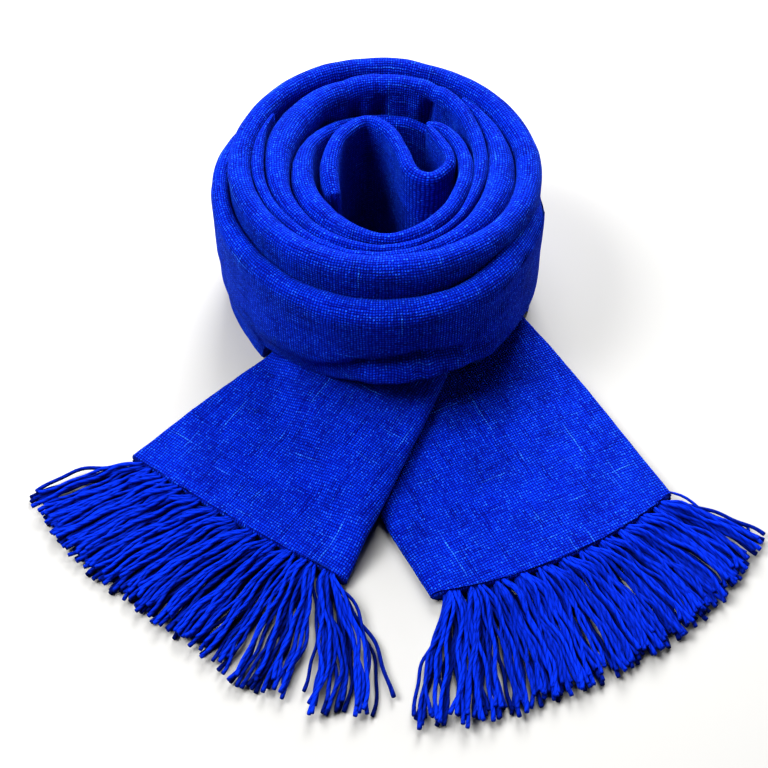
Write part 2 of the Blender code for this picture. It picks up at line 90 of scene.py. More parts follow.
# The innermost spiral, from the tip of the centre loop round the front and the left.
SpiralRow = namedtuple("SpiralRow", "azimuth inside outside top")
FIFTH_ROWS = (
    SpiralRow(60, 33.2, 35.4, 68.5),
    SpiralRow(48, 32.2, 36.2, 71.0),
    SpiralRow(30, 30.9, 36.4, 72.5),
    SpiralRow(0, 30.4, 36.6, 73.0),
    SpiralRow(-30, 31.4, 38.0, 73.0),
    SpiralRow(-60, 34.6, 42.0, 72.5),
    SpiralRow(-75, 37.4, 43.6, 72.2),
    SpiralRow(-90, 39.4, 44.4, 72.0),
    SpiralRow(-105, 36.2, 44.0, 72.0),
    SpiralRow(-120, 32.6, 43.1, 72.0),
    SpiralRow(-135, 30.7, 42.1, 72.2),
    SpiralRow(-150, 30.3, 41.0, 72.5),
    SpiralRow(-180, 30.0, 39.1, 72.5),
    SpiralRow(-210, 32.0, 38.7, 70.0),
    SpiralRow(-240, 35.2, 41.6, 65.0),
    SpiralRow(-270, 37.0, 43.6, 62.0),
    SpiralRow(-290, 37.8, 43.0, 61.0),
    SpiralRow(-310, 38.2, 40.9, 58.0),
)

# Crest points of the innermost strip: its loop at the left and back, then its hook.
LoopRow = namedtuple("LoopRow", "x y thickness top")
LOOP_ROWS = (
    LoopRow(-21.0, -15.5, 6.4, 69.5),
    LoopRow(-23.1, -5.0, 8.0, 72.5),
    LoopRow(-22.4, 6.5, 7.6, 73.5),
    LoopRow(-18.2, 18.0, 7.0, 74.0),
    LoopRow(-8.6, 27.4, 6.2, 73.0),
    LoopRow(1.2, 22.4, 6.4, 72.5),
    LoopRow(6.8, 10.6, 6.8, 72.0),
    LoopRow(11.2, -1.4, 6.8, 71.0),
    LoopRow(18.8, -5.0, 6.4, 70.5),
    LoopRow(26.2, 0.8, 5.6, 71.0),
    LoopRow(26.4, 8.4, 5.2, 71.5),
    LoopRow(22.8, 17.0, 5.0, 71.5),
    LoopRow(18.4, 25.6, 3.4, 70.5),
)

# The laid ends: where each edge runs, from the hem to the part under the roll.
TailRow = namedtuple("TailRow", "along outer_x outer_y inner_x inner_y")
LEFT_ROWS = (
    TailRow(0.00, -104.0, -101.0, -16.0, -160.5),
    TailRow(0.35, -81.6, -77.6, -2.6, -131.7),
    TailRow(0.70, -60.0, -56.6, 16.0, -88.0),
    TailRow(1.00, -40.3, -38.7, 33.0, -44.0),
)
RIGHT_ROWS = (
    TailRow(0.00, 113.6, -121.0, 16.4, -167.0),
    TailRow(0.35, 95.0, -86.5, -2.0, -131.0),
    TailRow(0.70, 77.0, -53.5, -16.5, -92.0),
    TailRow(1.00, 58.0, -22.0, -27.0, -50.0),
)
# How far each hem bows out, and how far along an end that bow has faded.
LEFT_HEM_BOW = 2.0
RIGHT_HEM_BOW = 8.0
HEM_BOW_FADE = 0.5
# The left end climbs over the right one between these distances from its edge.
CLIMB_START = 26.0
CLIMB_END = 8.0
# Distances from the edge of an end at which the foot of the roll starts to rise onto it:
# the right end, the left end on its inner side, and the left end on its outer side.
FOOT_START = 5.0
LIFT_START = 15.0
LEFT_START = 3.0
FOOT_END = 0.5

# Headings and length of the yarns at the outer corner, the middle and the inner corner.
FanRow = namedtuple("FanRow", "along root_heading tip_heading length")
LEFT_FAN = (
    FanRow(0.00, 200.0, 212.0, 43.5),
    FanRow(0.25, 198.0, 217.0, 49.5),
    FanRow(0.50, 201.0, 228.0, 51.0),
    FanRow(0.75, 222.0, 240.0, 52.0),
    FanRow(1.00, 312.0, 271.0, 60.0),
)
RIGHT_FAN = (
    FanRow(0.00, 342.0, 320.0, 39.5),
    FanRow(0.25, 331.0, 303.0, 45.5),
    FanRow(0.50, 318.0, 291.0, 48.5),
    FanRow(0.75, 298.0, 277.0, 51.0),
    FanRow(1.00, 258.0, 263.0, 54.0),
)

# Azimuths between which the open turns run, clockwise seen from above.
OUTER_ENDS = (2.0, -330.0)
THIRD_ENDS = (50.0, -210.0)
FIFTH_ENDS = (58.0, -310.0)
FULL_TURN = (360.0, 0.0)
FRAME_STEP = 10

# Fineness of the shells: stations round the roll, then points up a wall and over a crest.
MERGE = 0.0005
LENGTH_SAMPLE = 6
STATION_STEP = 1.25
INSIDE_STEPS = 14
CREST_STEPS = 18
OUTSIDE_STEPS = 40
FOOT_STEPS = 3
LOOP_STEPS = 18
TAIL_CELLS = 66
TAIL_RUNS = 96

# Rounding of the upright sections.
CREST_RISE_LIMIT = 6.5
CREST_RISE_SHARE = 1.1
FOOT_ROUND = 1.6
FOOT_ROUND_SHARE = 0.35
TUCK_HEIGHT = 20.0

# The outer turn starts as a ramp on the side of the second turn, and its own crest rises
# from it between the first two azimuths. Both of its ends thin out and sink in.
RAMP_AZIMUTH = -20.0
CREST_AZIMUTH = -72.0
RAMP_TOP = 71.0
RAMP_DROP = 6.0
RAMP_CURVE = 1.15
RAMP_SWELL = 0.8
RAMP_IN = 3.2
RAMP_THIN = 24.0
TAPER = 34.0
SINK = 0.9

# Uneven crests: size, fineness and shift of each wave. Uneven surface: the same, with the
# size as a share of the cloth's unevenness.
CREST_WAVES = ((0.45, 2.6, 0.0), (0.25, 7.0, 5.0))
BROAD_SHARE = 0.9
BROAD_FINENESS = 42.0
FINE_SHARE = 0.45
FINE_FINENESS = 130.0
FINE_SHIFT = Vector((3.0, 7.0, 1.0))

# The ends of the innermost strip: stations over which it swells, and its share at the tip.
LOOP_END_STATIONS = 5.0
LOOP_TIP_SHARE = 0.12
LOOP_WAVE = 0.4
LOOP_FINENESS = 0.07

# The folded selvedges on each end's outer edge show as three uneven layers.
LAYER_COUNT = 3
LAYER_STEP_BACK = (0.0, 1.3, 0.5)
LAYER_GROOVE = 1.6
LAYER_NOSE = 0.35
LAYER_HALF = 0.375
FOLD_STEPS = 12
FOLD_REACH = 5.6

# Rounding of the hem: reach and height share of each section, from the hem's face inward.
HEM_ROUND = 1.2
HEM_STEPS = ((0.8, 0.55), (0.6, 0.78), (0.3, 0.93), (0.0, 1.0))

# Soft creases pressed into the walls and crests of the turns. Each runs between
# two places on one side; a negative depth raises a ridge.
Crease = namedtuple("Crease", "side azimuth height azimuth_end height_end width depth")
CREASE_REACH = 3.0
CREASE_END_SHARE = 0.55
OUTER_CREASES = (
    Crease("outside", 249, 24.0, 262, 35.0, 3.2, 3.6),
    Crease("outside", 262, 35.0, 279, 40.0, 2.9, 6.0),
    Crease("outside", 279, 40.0, 291, 37.0, 2.8, 5.0),
    Crease("outside", 291, 37.0, 300, 33.0, 3.0, 2.0),
    Crease("outside", 252, 18.0, 266, 26.0, 4.2, -2.8),
    Crease("outside", 266, 26.0, 283, 30.0, 4.0, -4.4),
    Crease("outside", 283, 30.0, 303, 24.0, 4.0, -3.6),
    Crease("outside", 296, 42.0, 318, 58.0, 4.0, 0.6),
    Crease("outside", 200, 40.0, 214, 58.0, 3.6, 0.6),
    Crease("outside", 182, 20.0, 202, 34.0, 4.0, 0.7),
    Crease("outside", 150, 18.0, 176, 26.0, 4.0, 0.6),
    Crease("outside", 96, 14.0, 128, 24.0, 3.8, 0.7),
    Crease("outside", 60, 30.0, 82, 20.0, 3.4, 0.5),
)
SECOND_CREASES = (
    Crease("outside", 20, 56.0, 48, 44.0, 4.0, 0.6),
    Crease("outside", 66, 60.0, 92, 58.0, 3.6, 0.5),
    Crease("outside", 112, 60.0, 140, 66.0, 3.6, 0.5),
    Crease("outside", 300, 70.0, 324, 64.0, 3.2, 0.7),
    Crease("crest", 76, 0.0, 70, 0.0, 2.6, 0.5),
    Crease("crest", 206, 0.0, 214, 0.0, 2.8, 0.5),
)
THIRD_CREASES = (
    Crease("crest", 250, 0.0, 255, 0.0, 2.4, 0.5),
    Crease("crest", 318, 0.0, 314, 0.0, 2.4, 0.4),
)
FOURTH_CREASES = (
    Crease("inside", 64.0, 78.0, 67.0, 52.0, 2.2, 4.2),
    Crease("inside", 71.0, 76.0, 74.0, 52.0, 3.0, -1.2),
    Crease("inside", 82.0, 76.0, 83.0, 52.0, 3.6, -0.8),
    Crease("inside", 90.5, 78.0, 92.5, 52.0, 3.4, 2.0),
    Crease("inside", 99.0, 76.0, 101.0, 52.0, 3.6, -1.0),
    Crease("inside", 109.5, 78.0, 106.0, 52.0, 3.2, 2.0),
    Crease("inside", 117.0, 76.0, 113.0, 52.0, 3.6, -0.9),
    Crease("inside", 128.0, 78.0, 124.0, 50.0, 3.0, 1.6),
    Crease("inside", 142.0, 76.0, 136.0, 50.0, 3.4, -0.8),
    Crease("inside", 50.0, 76.0, 52.0, 50.0, 3.0, 1.0),
    Crease("crest", 63.0, 0.0, 65.0, 0.0, 2.0, 1.2),
    Crease("crest", 90.0, 0.0, 92.0, 0.0, 2.4, 0.5),
    Crease("crest", 109.0, 0.0, 111.0, 0.0, 2.4, 0.5),
)
FIFTH_CREASES = (
    Crease("crest", 236, 0.0, 232, 0.0, 2.2, 0.5),
    Crease("inside", 246, 66.0, 238, 40.0, 3.0, 0.8),
    Crease("inside", 300, 68.0, 292, 40.0, 3.2, 0.9),
)

# The turns from the outside in: the columns that bound each one, its creases, the seed of
# its uneven crest, and the flat size in metres of the cloth that shows.
Turn = namedtuple("Turn", "node ends inner outer top creases seed flat")
TURNS = (
    Turn(
        "outer_turn", OUTER_ENDS, "lap", "outside", "lap_top",
        OUTER_CREASES, 11.0, (0.064, 0.400),
    ),
    Turn(
        "second_turn", FULL_TURN, "tall", "lap", "tall_top",
        SECOND_CREASES, 12.0, (0.076, 0.377),
    ),
    Turn(
        "third_turn", THIRD_ENDS, "split", "tall", "split_top",
        THIRD_CREASES, 13.0, (0.074, 0.230),
    ),
    Turn(
        "fourth_turn", FULL_TURN, "inner", "split", "inner_top",
        FOURTH_CREASES, 14.0, (0.074, 0.285),
    ),
    Turn(
        "fifth_turn", FIFTH_ENDS, "inside", "outside", "top",
        FIFTH_CREASES, 15.0, (0.072, 0.225),
    ),
)

# The fringe: bundles along a hem, the bare strip at its corners, and where yarns root.
BUNDLES = 11
STRIP_END = 0.03
ROOT_INSIDE = 1.6
ROOT_OUTSIDE = 0.6
ROOT_HALF_WIDTH = 3.1
ROOT_LOW = 1.4
ROOT_RISE = 4.0
ROOT_STEP = 0.5
YARN_SIDES = 5
YARN_SEGMENTS = 13
LEFT_SEED = 21
RIGHT_SEED = 34

# How a bundle's yarns spread in degrees at the root, past it, halfway and at the tip, and
# the parts of their length at which one heading has given way to the next.
ROOT_SPREAD = 26.0
NEAR_SPREAD = 17.0
MIDDLE_SPREAD = 9.0
TIP_SPREAD = 4.0
NEAR_PART = 0.14
MIDDLE_PART = 0.44
BUNDLE_LEAN = 7.0
STRAY_CHANCE = 0.12
STRAY_FACTOR = 2.6
SWAY = 9.0
SWAY_WAVES = 1.3
RIPPLE = 11.0

# Heights of the yarns: their arch over the hem, where they rest, and the lowest allowed.
ARCH = 2.2
ARCH_PART = 0.3
REST_LOW = 0.9
REST_RISE = 5.4
SETTLE_PART = 0.45
BOB = 0.4
BOB_WAVES = 1.7
LOWEST = 1.2
ROOT_FLARE = 0.8
TIP_FLARE = 1.3
UP = Vector((0.0, 0.0, 1.0))

# One loose yarn strays from the right end's outer corner.
RIGHT_STRAY = (
    (112.0, -119.0, 4.0),
    (116.9, -121.0, 5.0),
    (121.3, -124.0, 4.0),
    (125.5, -128.3, 2.6),
    (128.1, -132.1, 1.8),
    (131.8, -133.6, 1.5),
    (137.0, -133.1, 1.4),
    (141.0, -132.8, 1.2),
    (142.6, -134.4, 1.0),
    (141.9, -138.3, 0.9),
)
STRAY_THICKNESS = 0.8
# Painted light of the stray yarn: fairly bright, as it lies on top of the others.
STRAY_PAINTED_LIGHT = 0.7
STRAY_SHIFT = 0.3

# Fixed settings of the shaders.
SHEEN_TINT = (0.08, 0.42, 1.0, 1.0)
CLOTH_FINISH = {
    "Specular IOR Level": 0.04,
    "Sheen Weight": 0.06,
    "Sheen Roughness": 0.45,
    "Sheen Tint": SHEEN_TINT,
}
YARN_FINISH = {
    "Roughness": 0.75,
    "Specular IOR Level": 0.02,
    "Sheen Weight": 0.03,
    "Sheen Roughness": 0.45,
    "Sheen Tint": SHEEN_TINT,
}
FLOOR_FINISH = {"Roughness": 0.9, "Specular IOR Level": 0.1}

# The soft square lights, in metres from the roll's axis, and what they face.
Light = namedtuple("Light", "name place size power")
LIGHTS = (
    Light("Left light", (-0.68, -0.12, 0.84), 0.6, "left_power"),
    Light("Back light", (0.17, 0.87, 0.68), 0.6, "back_power"),
    Light("Fill light", (0.95, -0.05, 0.20), 0.5, "fill_power"),
    Light("Top light", (0.05, 0.30, 1.15), 0.6, "top_power"),
)
LIGHT_TARGET = (0.0, -0.05, 0.03)

# The camera, from the roll's axis at the surface.
CAMERA_PLACE = (-1.0, -462.5, 496.0)
CAMERA_TILT = math.radians(39.1)
CAMERA_ROLL = math.radians(-0.32)
SENSOR_WIDTH = 36.0
FRAME_WIDTH = 768
FOCAL_PIXELS = 1500.0


class StoleCloth(bpy.types.PropertyGroup):
    """Weave and colour of the stole's cloth."""

    thread_pitch: bpy.props.FloatProperty(
        name="Thread pitch",
        description="Distance from one thread of the weave to the next",
        default=0.00115,
        min=0.0004,
        max=0.004,
        precision=5,
        unit="LENGTH",
    )
    thread_colour: bpy.props.FloatVectorProperty(
        name="Thread colour",
        description="Colour on the crowns of the threads",
        default=(0.0012, 0.050, 0.72),
        min=0.0,
        max=1.0,
        subtype="COLOR",
    )
    # Painted shade: the dark colour down between the threads stands for the shade that falls in
    # the gaps of the weave.
    gap_shade_colour: bpy.props.FloatVectorProperty(
        name="Gap shade colour",
        description="Colour down between the threads",
        default=(0.0003, 0.0022, 0.17),
        min=0.0,
        max=1.0,
        subtype="COLOR",
    )
    # Also the colour of the painted highlight glints on the strongest thread crowns.
    slub_and_glint_colour: bpy.props.FloatVectorProperty(
        name="Slub and glint colour",
        description="Colour of the thicker, paler slub threads",
        default=(0.05, 0.26, 0.82),
        min=0.0,
        max=1.0,
        subtype="COLOR",
    )
    unevenness: bpy.props.FloatProperty(
        name="Unevenness",
        description="How far the cloth's surface wanders from its drawn form",
        default=0.0004,
        min=0.0,
        max=0.002,
        precision=5,
        unit="LENGTH",
    )


class StoleFringe(bpy.types.PropertyGroup):
    """Yarns of the two fringes."""

    yarn_thickness: bpy.props.FloatProperty(
        name="Yarn thickness",
        description="Thickness of one yarn",
        default=0.0019,
        min=0.0006,
        max=0.004,
        precision=5,
        unit="LENGTH",
    )
    twist_pitch: bpy.props.FloatProperty(
        name="Twist pitch",
        description="Length of yarn in which its two plies turn once",
        default=0.009,
        min=0.003,
        max=0.03,
        precision=4,
        unit="LENGTH",
    )
    yarns_per_bundle: bpy.props.IntProperty(
        name="Yarns per bundle",
        description="Yarns that leave the hem together in one bundle",
        default=24,
        min=6,
        max=26,
    )
    yarn_colour: bpy.props.FloatVectorProperty(
        name="Yarn colour",
        description="Colour of the yarn where the light falls on it",
        default=(0.001, 0.022, 0.42),
        min=0.0,
        max=1.0,
        subtype="COLOR",
    )


class StoleStage(bpy.types.PropertyGroup):
    """Floor and lights round the stole."""

    floor_colour: bpy.props.FloatVectorProperty(
        name="Floor colour",
        description="Colour of the plain floor",
        default=(0.34, 0.337, 0.33),
        min=0.0,
        max=1.0,
        subtype="COLOR",
    )
    floor_reach: bpy.props.FloatProperty(
        name="Floor reach",
        description="Distance from the middle of the floor to its sides",
        default=1.1,
        min=0.3,
        unit="LENGTH",
    )
    left_power: bpy.props.FloatProperty(
        name="Left power",
        description="Power of the soft light at the left, in watts",
        default=19.5,
        min=0.0,
    )
    back_power: bpy.props.FloatProperty(
        name="Back power",
        description="Power of the soft light behind, in watts",
        default=27.0,
        min=0.0,
    )
    fill_power: bpy.props.FloatProperty(
        name="Fill power",
        description="Power of the low fill light at the right, in watts",
        default=3.4,
        min=0.0,
    )
    top_power: bpy.props.FloatProperty(
        name="Top power",
        description="Power of the large soft light overhead, in watts",
        default=10.0,
        min=0.0,
    )
    sky_strength: bpy.props.FloatProperty(
        name="Sky strength",
        description="Strength of the even light from all round",
        default=0.015,
        min=0.0,
    )
    backdrop: bpy.props.FloatProperty(
        name="Backdrop",
        description="Brightness of the pale surroundings as the camera sees them",
        default=0.85,
        min=0.0,
    )


def smooth(value):
    """Ease from 0 to 1 with no slope at either end."""
    held = min(max(value, 0.0), 1.0)
    return held * held * (3.0 - 2.0 * held)


def hermite(before, start, end, after, part):
    """Cubic blend between two values whose slopes follow their neighbours."""
    slope_start = (end - before) / 2.0
    slope_end = (after - start) / 2.0
    square = part * part
    cube = square * part
    return (
        (2.0 * cube - 3.0 * square + 1.0) * start
        + (cube - 2.0 * square + part) * slope_start
        + (3.0 * square - 2.0 * cube) * end
        + (cube - square) * slope_end
    )


def blend_rows(rows, position, closed=False):
    """Read a table at a fractional row number and return a row of its own kind."""
    count = len(rows)
    first = math.floor(position)
    if closed:
        picks = [rows[(first + step) % count] for step in (-1, 0, 1, 2)]
    else:
        first = min(max(first, 0), count - 2)
        picks = [rows[min(max(first + step, 0), count - 1)] for step in (-1, 0, 1, 2)]
    part = position - first
    return type(rows[0])(*(hermite(*values, part) for values in zip(*picks)))


def roll_row(azimuth):
    """Grooves and crests of the roll at one azimuth."""
    return blend_rows(ROLL_ROWS, (azimuth % 360) * len(ROLL_ROWS) / 360.0, closed=True)


def row_position(rows, column, value):
    """Row number at which a falling or rising column reaches a value."""
    for index in range(len(rows) - 1):
        start = getattr(rows[index], column)
        end = getattr(rows[index + 1], column)
        if min(start, end) <= value <= max(start, end):
            return index + (value - start) / (end - start)
    raise ValueError("the table does not reach that value")


def polar(radius, azimuth, height):
    """Point at a radius and azimuth round the roll's axis."""
    angle = math.radians(azimuth)
    return Vector((radius * math.cos(angle), radius * math.sin(angle), height))


def tail_outline(rows):
    """Corners of a laid end's footprint, round from the hem's outer corner."""
    outer = [Vector((row.outer_x, row.outer_y)) for row in rows]
    inner = [Vector((row.inner_x, row.inner_y)) for row in rows]
    return outer + inner[::-1]


def depth_inside(outline, x, y):
    """Distance inside a convex outline, negative outside it."""
    centre = sum(outline, Vector((0.0, 0.0))) / len(outline)
    depths = []
    for start, end in zip(outline, outline[1:] + outline[:1]):
        edge = (end - start).normalized()
        normal = Vector((-edge.y, edge.x))
        if normal.dot(centre - start) < 0.0:
            normal.negate()
        depths.append(normal.dot(Vector((x, y)) - start))
    return min(depths)


LEFT_OUTLINE = tail_outline(LEFT_ROWS)
RIGHT_OUTLINE = tail_outline(RIGHT_ROWS)


def left_base(x, y):
    """Height at which the underside of the left end lies, over the right end."""
    depth = depth_inside(RIGHT_OUTLINE, x, y)
    rise = smooth((depth + CLIMB_START) / (CLIMB_START - CLIMB_END))
    return rise * (BAND_THICKNESS + SEAM_GAP)


def foot_height(x, y):
    """Height at which the foot of the roll rests, on the surface or on the ends."""
    on_right = depth_inside(RIGHT_OUTLINE, x, y) + FOOT_START
    on_right = smooth(on_right / (FOOT_START - FOOT_END))
    start = LIFT_START if x > 0.0 else LEFT_START
    on_left = depth_inside(LEFT_OUTLINE, x, y) + start
    on_left = smooth(on_left / (start - FOOT_END))
    step = BAND_THICKNESS + SEAM_GAP
    return max(on_right * step, on_left * (step + left_base(x, y)))


def axis_offset():
    """Where the roll's axis stands in the frame, from the box of the second turn."""
    places = []
    for azimuth in range(0, 360, FRAME_STEP):
        radius = roll_row(azimuth).lap - SEAM_GAP / 2.0
        places.append(polar(radius, azimuth, 0.0))
    low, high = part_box("second_turn")
    offset = Vector((0.0, 0.0, 0.0))
    for axis in (0, 1):
        drawn = [place[axis] for place in places]
        middle = (min(drawn) + max(drawn)) / 2.0
        offset[axis] = (low[axis] + high[axis]) / 2.0 - middle * MM
    return offset


AXIS = axis_offset()


def ring_noise(azimuth, fineness, seed):
    """Even noise round a closed ring, from -1 to 1."""
    angle = math.radians(azimuth)
    spot = Vector((math.cos(angle) * fineness, math.sin(angle) * fineness, seed))
    return noise.noise(spot)


def away_from_line(x, y, start_x, start_y, end_x, end_y):
    """Distance from a point to a line between two places, and how far along it is."""
    line = Vector((end_x - start_x, end_y - start_y))
    off = Vector((x - start_x, y - start_y))
    length = line.length
    if length < 1e-6:
        return off.length, 0.5
    part = off.dot(line) / (length * length)
    held = min(max(part, 0.0), 1.0)
    return (off - line * held).length, held


def crease_depth(creases, side, azimuth, height, radius):
    """How far the creases press one place of a turn in."""
    pressed = 0.0
    arc = math.radians(radius)
    for crease in creases:
        if crease.side != side:
            continue
        turned = (azimuth - crease.azimuth + 180.0) % 360.0 - 180.0
        span = (crease.azimuth_end - crease.azimuth + 180.0) % 360.0 - 180.0
        rise = crease.height_end - crease.height
        level = height - crease.height if side != "crest" else 0.0
        away, part = away_from_line(turned * arc, level, 0.0, 0.0, span * arc, rise)
        if away > crease.width * CREASE_REACH:
            continue
        fade = CREASE_END_SHARE + (1.0 - CREASE_END_SHARE) * math.sin(math.pi * part)
        pressed += crease.depth * fade * math.exp(-((away / crease.width) ** 2))
    return pressed


def upright_section(inner, outer, top, foot):
    """Points of one upright section, as (radius, height, side), and its shoulder."""
    half = (outer - inner) / 2.0
    middle = (outer + inner) / 2.0
    rise = min(half * CREST_RISE_SHARE, CREST_RISE_LIMIT)
    shoulder = top - rise
    edge = min(FOOT_ROUND, (outer - inner) * FOOT_ROUND_SHARE)
    wall = shoulder - foot - edge
    points = []
    for step in range(INSIDE_STEPS):
        points.append((inner, foot + edge + wall * step / INSIDE_STEPS, "inside"))
    for step in range(CREST_STEPS + 1):
        angle = math.pi * step / CREST_STEPS
        radius = middle - half * math.cos(angle)
        points.append((radius, shoulder + rise * math.sin(angle), "crest"))
    for step in range(1, OUTSIDE_STEPS + 1):
        points.append((outer, foot + edge + wall * (1.0 - step / OUTSIDE_STEPS), "outside"))
    for centre, way, steps in (
        (outer - edge, 1.0, range(1, FOOT_STEPS + 1)),
        (inner + edge, -1.0, range(FOOT_STEPS, 0, -1)),
    ):
        for step in steps:
            angle = math.pi / 2.0 * step / FOOT_STEPS
            radius = centre + way * edge * math.cos(angle)
            points.append((radius, foot + edge - edge * math.sin(angle), "foot"))
    return points, shoulder


def turn_foot(inner, outer, azimuth):
    """Height of a turn's foot, clear of all that lies near one station."""
    near = []
    for turned in (-STATION_STEP, 0.0, STATION_STEP):
        for radius in (inner, (inner + outer) / 2.0, outer):
            place = polar(radius, azimuth + turned, 0.0)
            near.append(foot_height(place.x, place.y))
    return max(near)


def wrapped_grid(bm, chart, sections, spots):
    """Wrap a new grid round closed sections, each point with its spot on the map."""
    around = len(sections[0])
    runs = len(spots) - 1
    made = bmesh.ops.create_grid(bm, x_segments=around, y_segments=runs, size=0.5)
    for vert in made["verts"]:
        point = round((vert.co.x + 0.5) * around)
        section = round((vert.co.y + 0.5) * runs)
        for loop in vert.link_loops:
            loop[chart].uv = spots[section][point]
        vert.co = sections[section % len(sections)][point % around]
    return made["verts"]


def wrapped_mesh(sections, spots):
    """A mesh of one grid wrapped round closed sections."""
    bm = bmesh.new()
    wrapped_grid(bm, bm.loops.layers.uv.new("UVMap"), sections, spots)
    bmesh.ops.remove_doubles(bm, verts=bm.verts, dist=MERGE)
    return bm


def fill_rims(bm):
    """Close all open rims."""
    rims = [edge for edge in bm.edges if edge.is_boundary]
    bmesh.ops.holes_fill(bm, edges=rims, sides=0)


def band_mesh(sections, closed):
    """A stretch of the band, with its map in metres along and across the cloth."""
    order = sections + sections[:1] if closed else sections
    along = 0.0
    spots = []
    for index, section in enumerate(order):
        if index:
            steps = [
                (section[place] - order[index - 1][place]).length
                for place in range(0, len(section), LENGTH_SAMPLE)
            ]
            along += sum(steps) / len(steps)
        ring = section + section[:1]
        across = [0.0]
        for before, after in zip(ring, ring[1:]):
            across.append(across[-1] + (after - before).length)
        crest = across[INSIDE_STEPS + CREST_STEPS // 2]
        spots.append([(along * MM, (spot - crest) * MM) for spot in across])
    bm = wrapped_mesh(sections, spots)
    if not closed:
        fill_rims(bm)
    return bm


def finish_piece(name, node, bm, material, unevenness=0.0):
    """Turn a bmesh in millimetres into a piece that stands for a node of the frame."""
    bmesh.ops.scale(bm, vec=(MM, MM, MM), verts=bm.verts)
    bmesh.ops.translate(bm, vec=AXIS, verts=bm.verts)
    bmesh.ops.recalc_face_normals(bm, faces=bm.faces)
    if unevenness:
        bm.normal_update()
        for vert in bm.verts:
            broad = noise.noise(vert.co * BROAD_FINENESS)
            fine = noise.noise(vert.co * FINE_FINENESS + FINE_SHIFT)
            vert.co += vert.normal * unevenness * (broad * BROAD_SHARE + fine * FINE_SHARE)
    for vert in bm.verts:
        vert.co.z = max(vert.co.z, 0.0)
    mesh = bpy.data.meshes.new(name)
    bm.to_mesh(mesh)
    bm.free()
    mesh.shade_smooth()
    mesh.materials.append(material)
    piece = bpy.data.objects.new(name, mesh)
    bpy.context.scene.collection.objects.link(piece)
    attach(piece, "root")
    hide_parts(node)
    return piece


def finish_cloth(node, bm, material, unevenness):
    """Make the cloth piece that stands for one stretch of the band."""
    return finish_piece(node + "_cloth", node, bm, material, unevenness)


def azimuth_steps(start, end):
    """Station azimuths from start down to end, clockwise seen from above."""
    count = round((start - end) / STATION_STEP)
    return [start + (end - start) * step / count for step in range(count + 1)]


def turn_walls(turn, azimuth):
    """Inner radius, outer radius and height of a turn at one azimuth."""
    if turn.node == "fifth_turn":
        row = blend_rows(FIFTH_ROWS, row_position(FIFTH_ROWS, "azimuth", azimuth))
        return row.inside, row.outside, row.top
    row = roll_row(azimuth)
    gap = SEAM_GAP / 2.0
    outer = getattr(row, turn.outer)
    if turn.node != "outer_turn":
        outer -= gap
    return getattr(row, turn.inner) + gap, outer, getattr(row, turn.top)


def outer_shape(azimuth, points, foot, shoulder):
    """Tuck in the outer turn's foot and blend its ends into the second turn."""
    row = roll_row(azimuth)
    wall = max(row.outside - row.lap, 1.0)
    own = smooth((RAMP_AZIMUTH - azimuth) / (RAMP_AZIMUTH - CREST_AZIMUTH))
    begun = smooth((OUTER_ENDS[0] - azimuth) / RAMP_THIN)
    left = smooth((azimuth - OUTER_ENDS[1]) / TAPER)
    thinned = (row.outside - row.lap + SINK) * (1.0 - begun * left)
    tuck_start = max(foot, BAND_THICKNESS + SEAM_GAP)
    ramp_start = row.lap - RAMP_IN
    ramp_reach = row.outside - thinned - ramp_start
    made = []
    crest_at = 0
    for radius, height, side in points:
        share = min(max((radius - row.lap) / wall, 0.0), 1.0)
        radius -= thinned * share + RAMP_IN * (1.0 - left) * (1.0 - share)
        if side == "crest":
            part = crest_at / CREST_STEPS
            crest_at += 1
            ramp_radius = ramp_start + ramp_reach * smooth(part) ** RAMP_SWELL
            ramp_height = RAMP_TOP + (shoulder - RAMP_DROP - RAMP_TOP) * part**RAMP_CURVE
            radius = ramp_radius + (radius - ramp_radius) * own
            height = ramp_height + (height - ramp_height) * own
        elif side == "inside":
            radius -= RAMP_IN * (1.0 - own)
        elif side == "outside":
            radius -= row.tuck * (1.0 - smooth((height - tuck_start) / TUCK_HEIGHT))
        else:
            radius -= row.tuck * (radius - row.lap) / wall
        made.append((radius, height, side))
    return made


def creased(creases, azimuth, radius, height, side):
    """A point of a turn, with the creases pressed into its wall or crest."""
    depth = crease_depth(creases, side, azimuth, height, radius)
    if side == "inside":
        radius += depth
    elif side == "outside":
        radius -= depth
    elif side == "crest":
        height -= depth
    return polar(radius, azimuth, height)


def turn_shell(turn, material, unevenness):
    """One turn of the roll as a closed cloth shell."""
    closed = turn.ends == FULL_TURN
    azimuths = azimuth_steps(*turn.ends)
    if closed:
        azimuths = azimuths[:-1]
    sections = []
    for azimuth in azimuths:
        inner, outer, top = turn_walls(turn, azimuth)
        top += sum(
            size * ring_noise(azimuth, fineness, turn.seed + shift)
            for size, fineness, shift in CREST_WAVES
        )
        foot = turn_foot(inner, outer, azimuth)
        points, shoulder = upright_section(inner, outer, top, foot)
        if turn.node == "outer_turn":
            points = outer_shape(azimuth, points, foot, shoulder)
        sections.append([creased(turn.creases, azimuth, *point) for point in points])
    return finish_cloth(turn.node, band_mesh(sections, closed), material, unevenness)


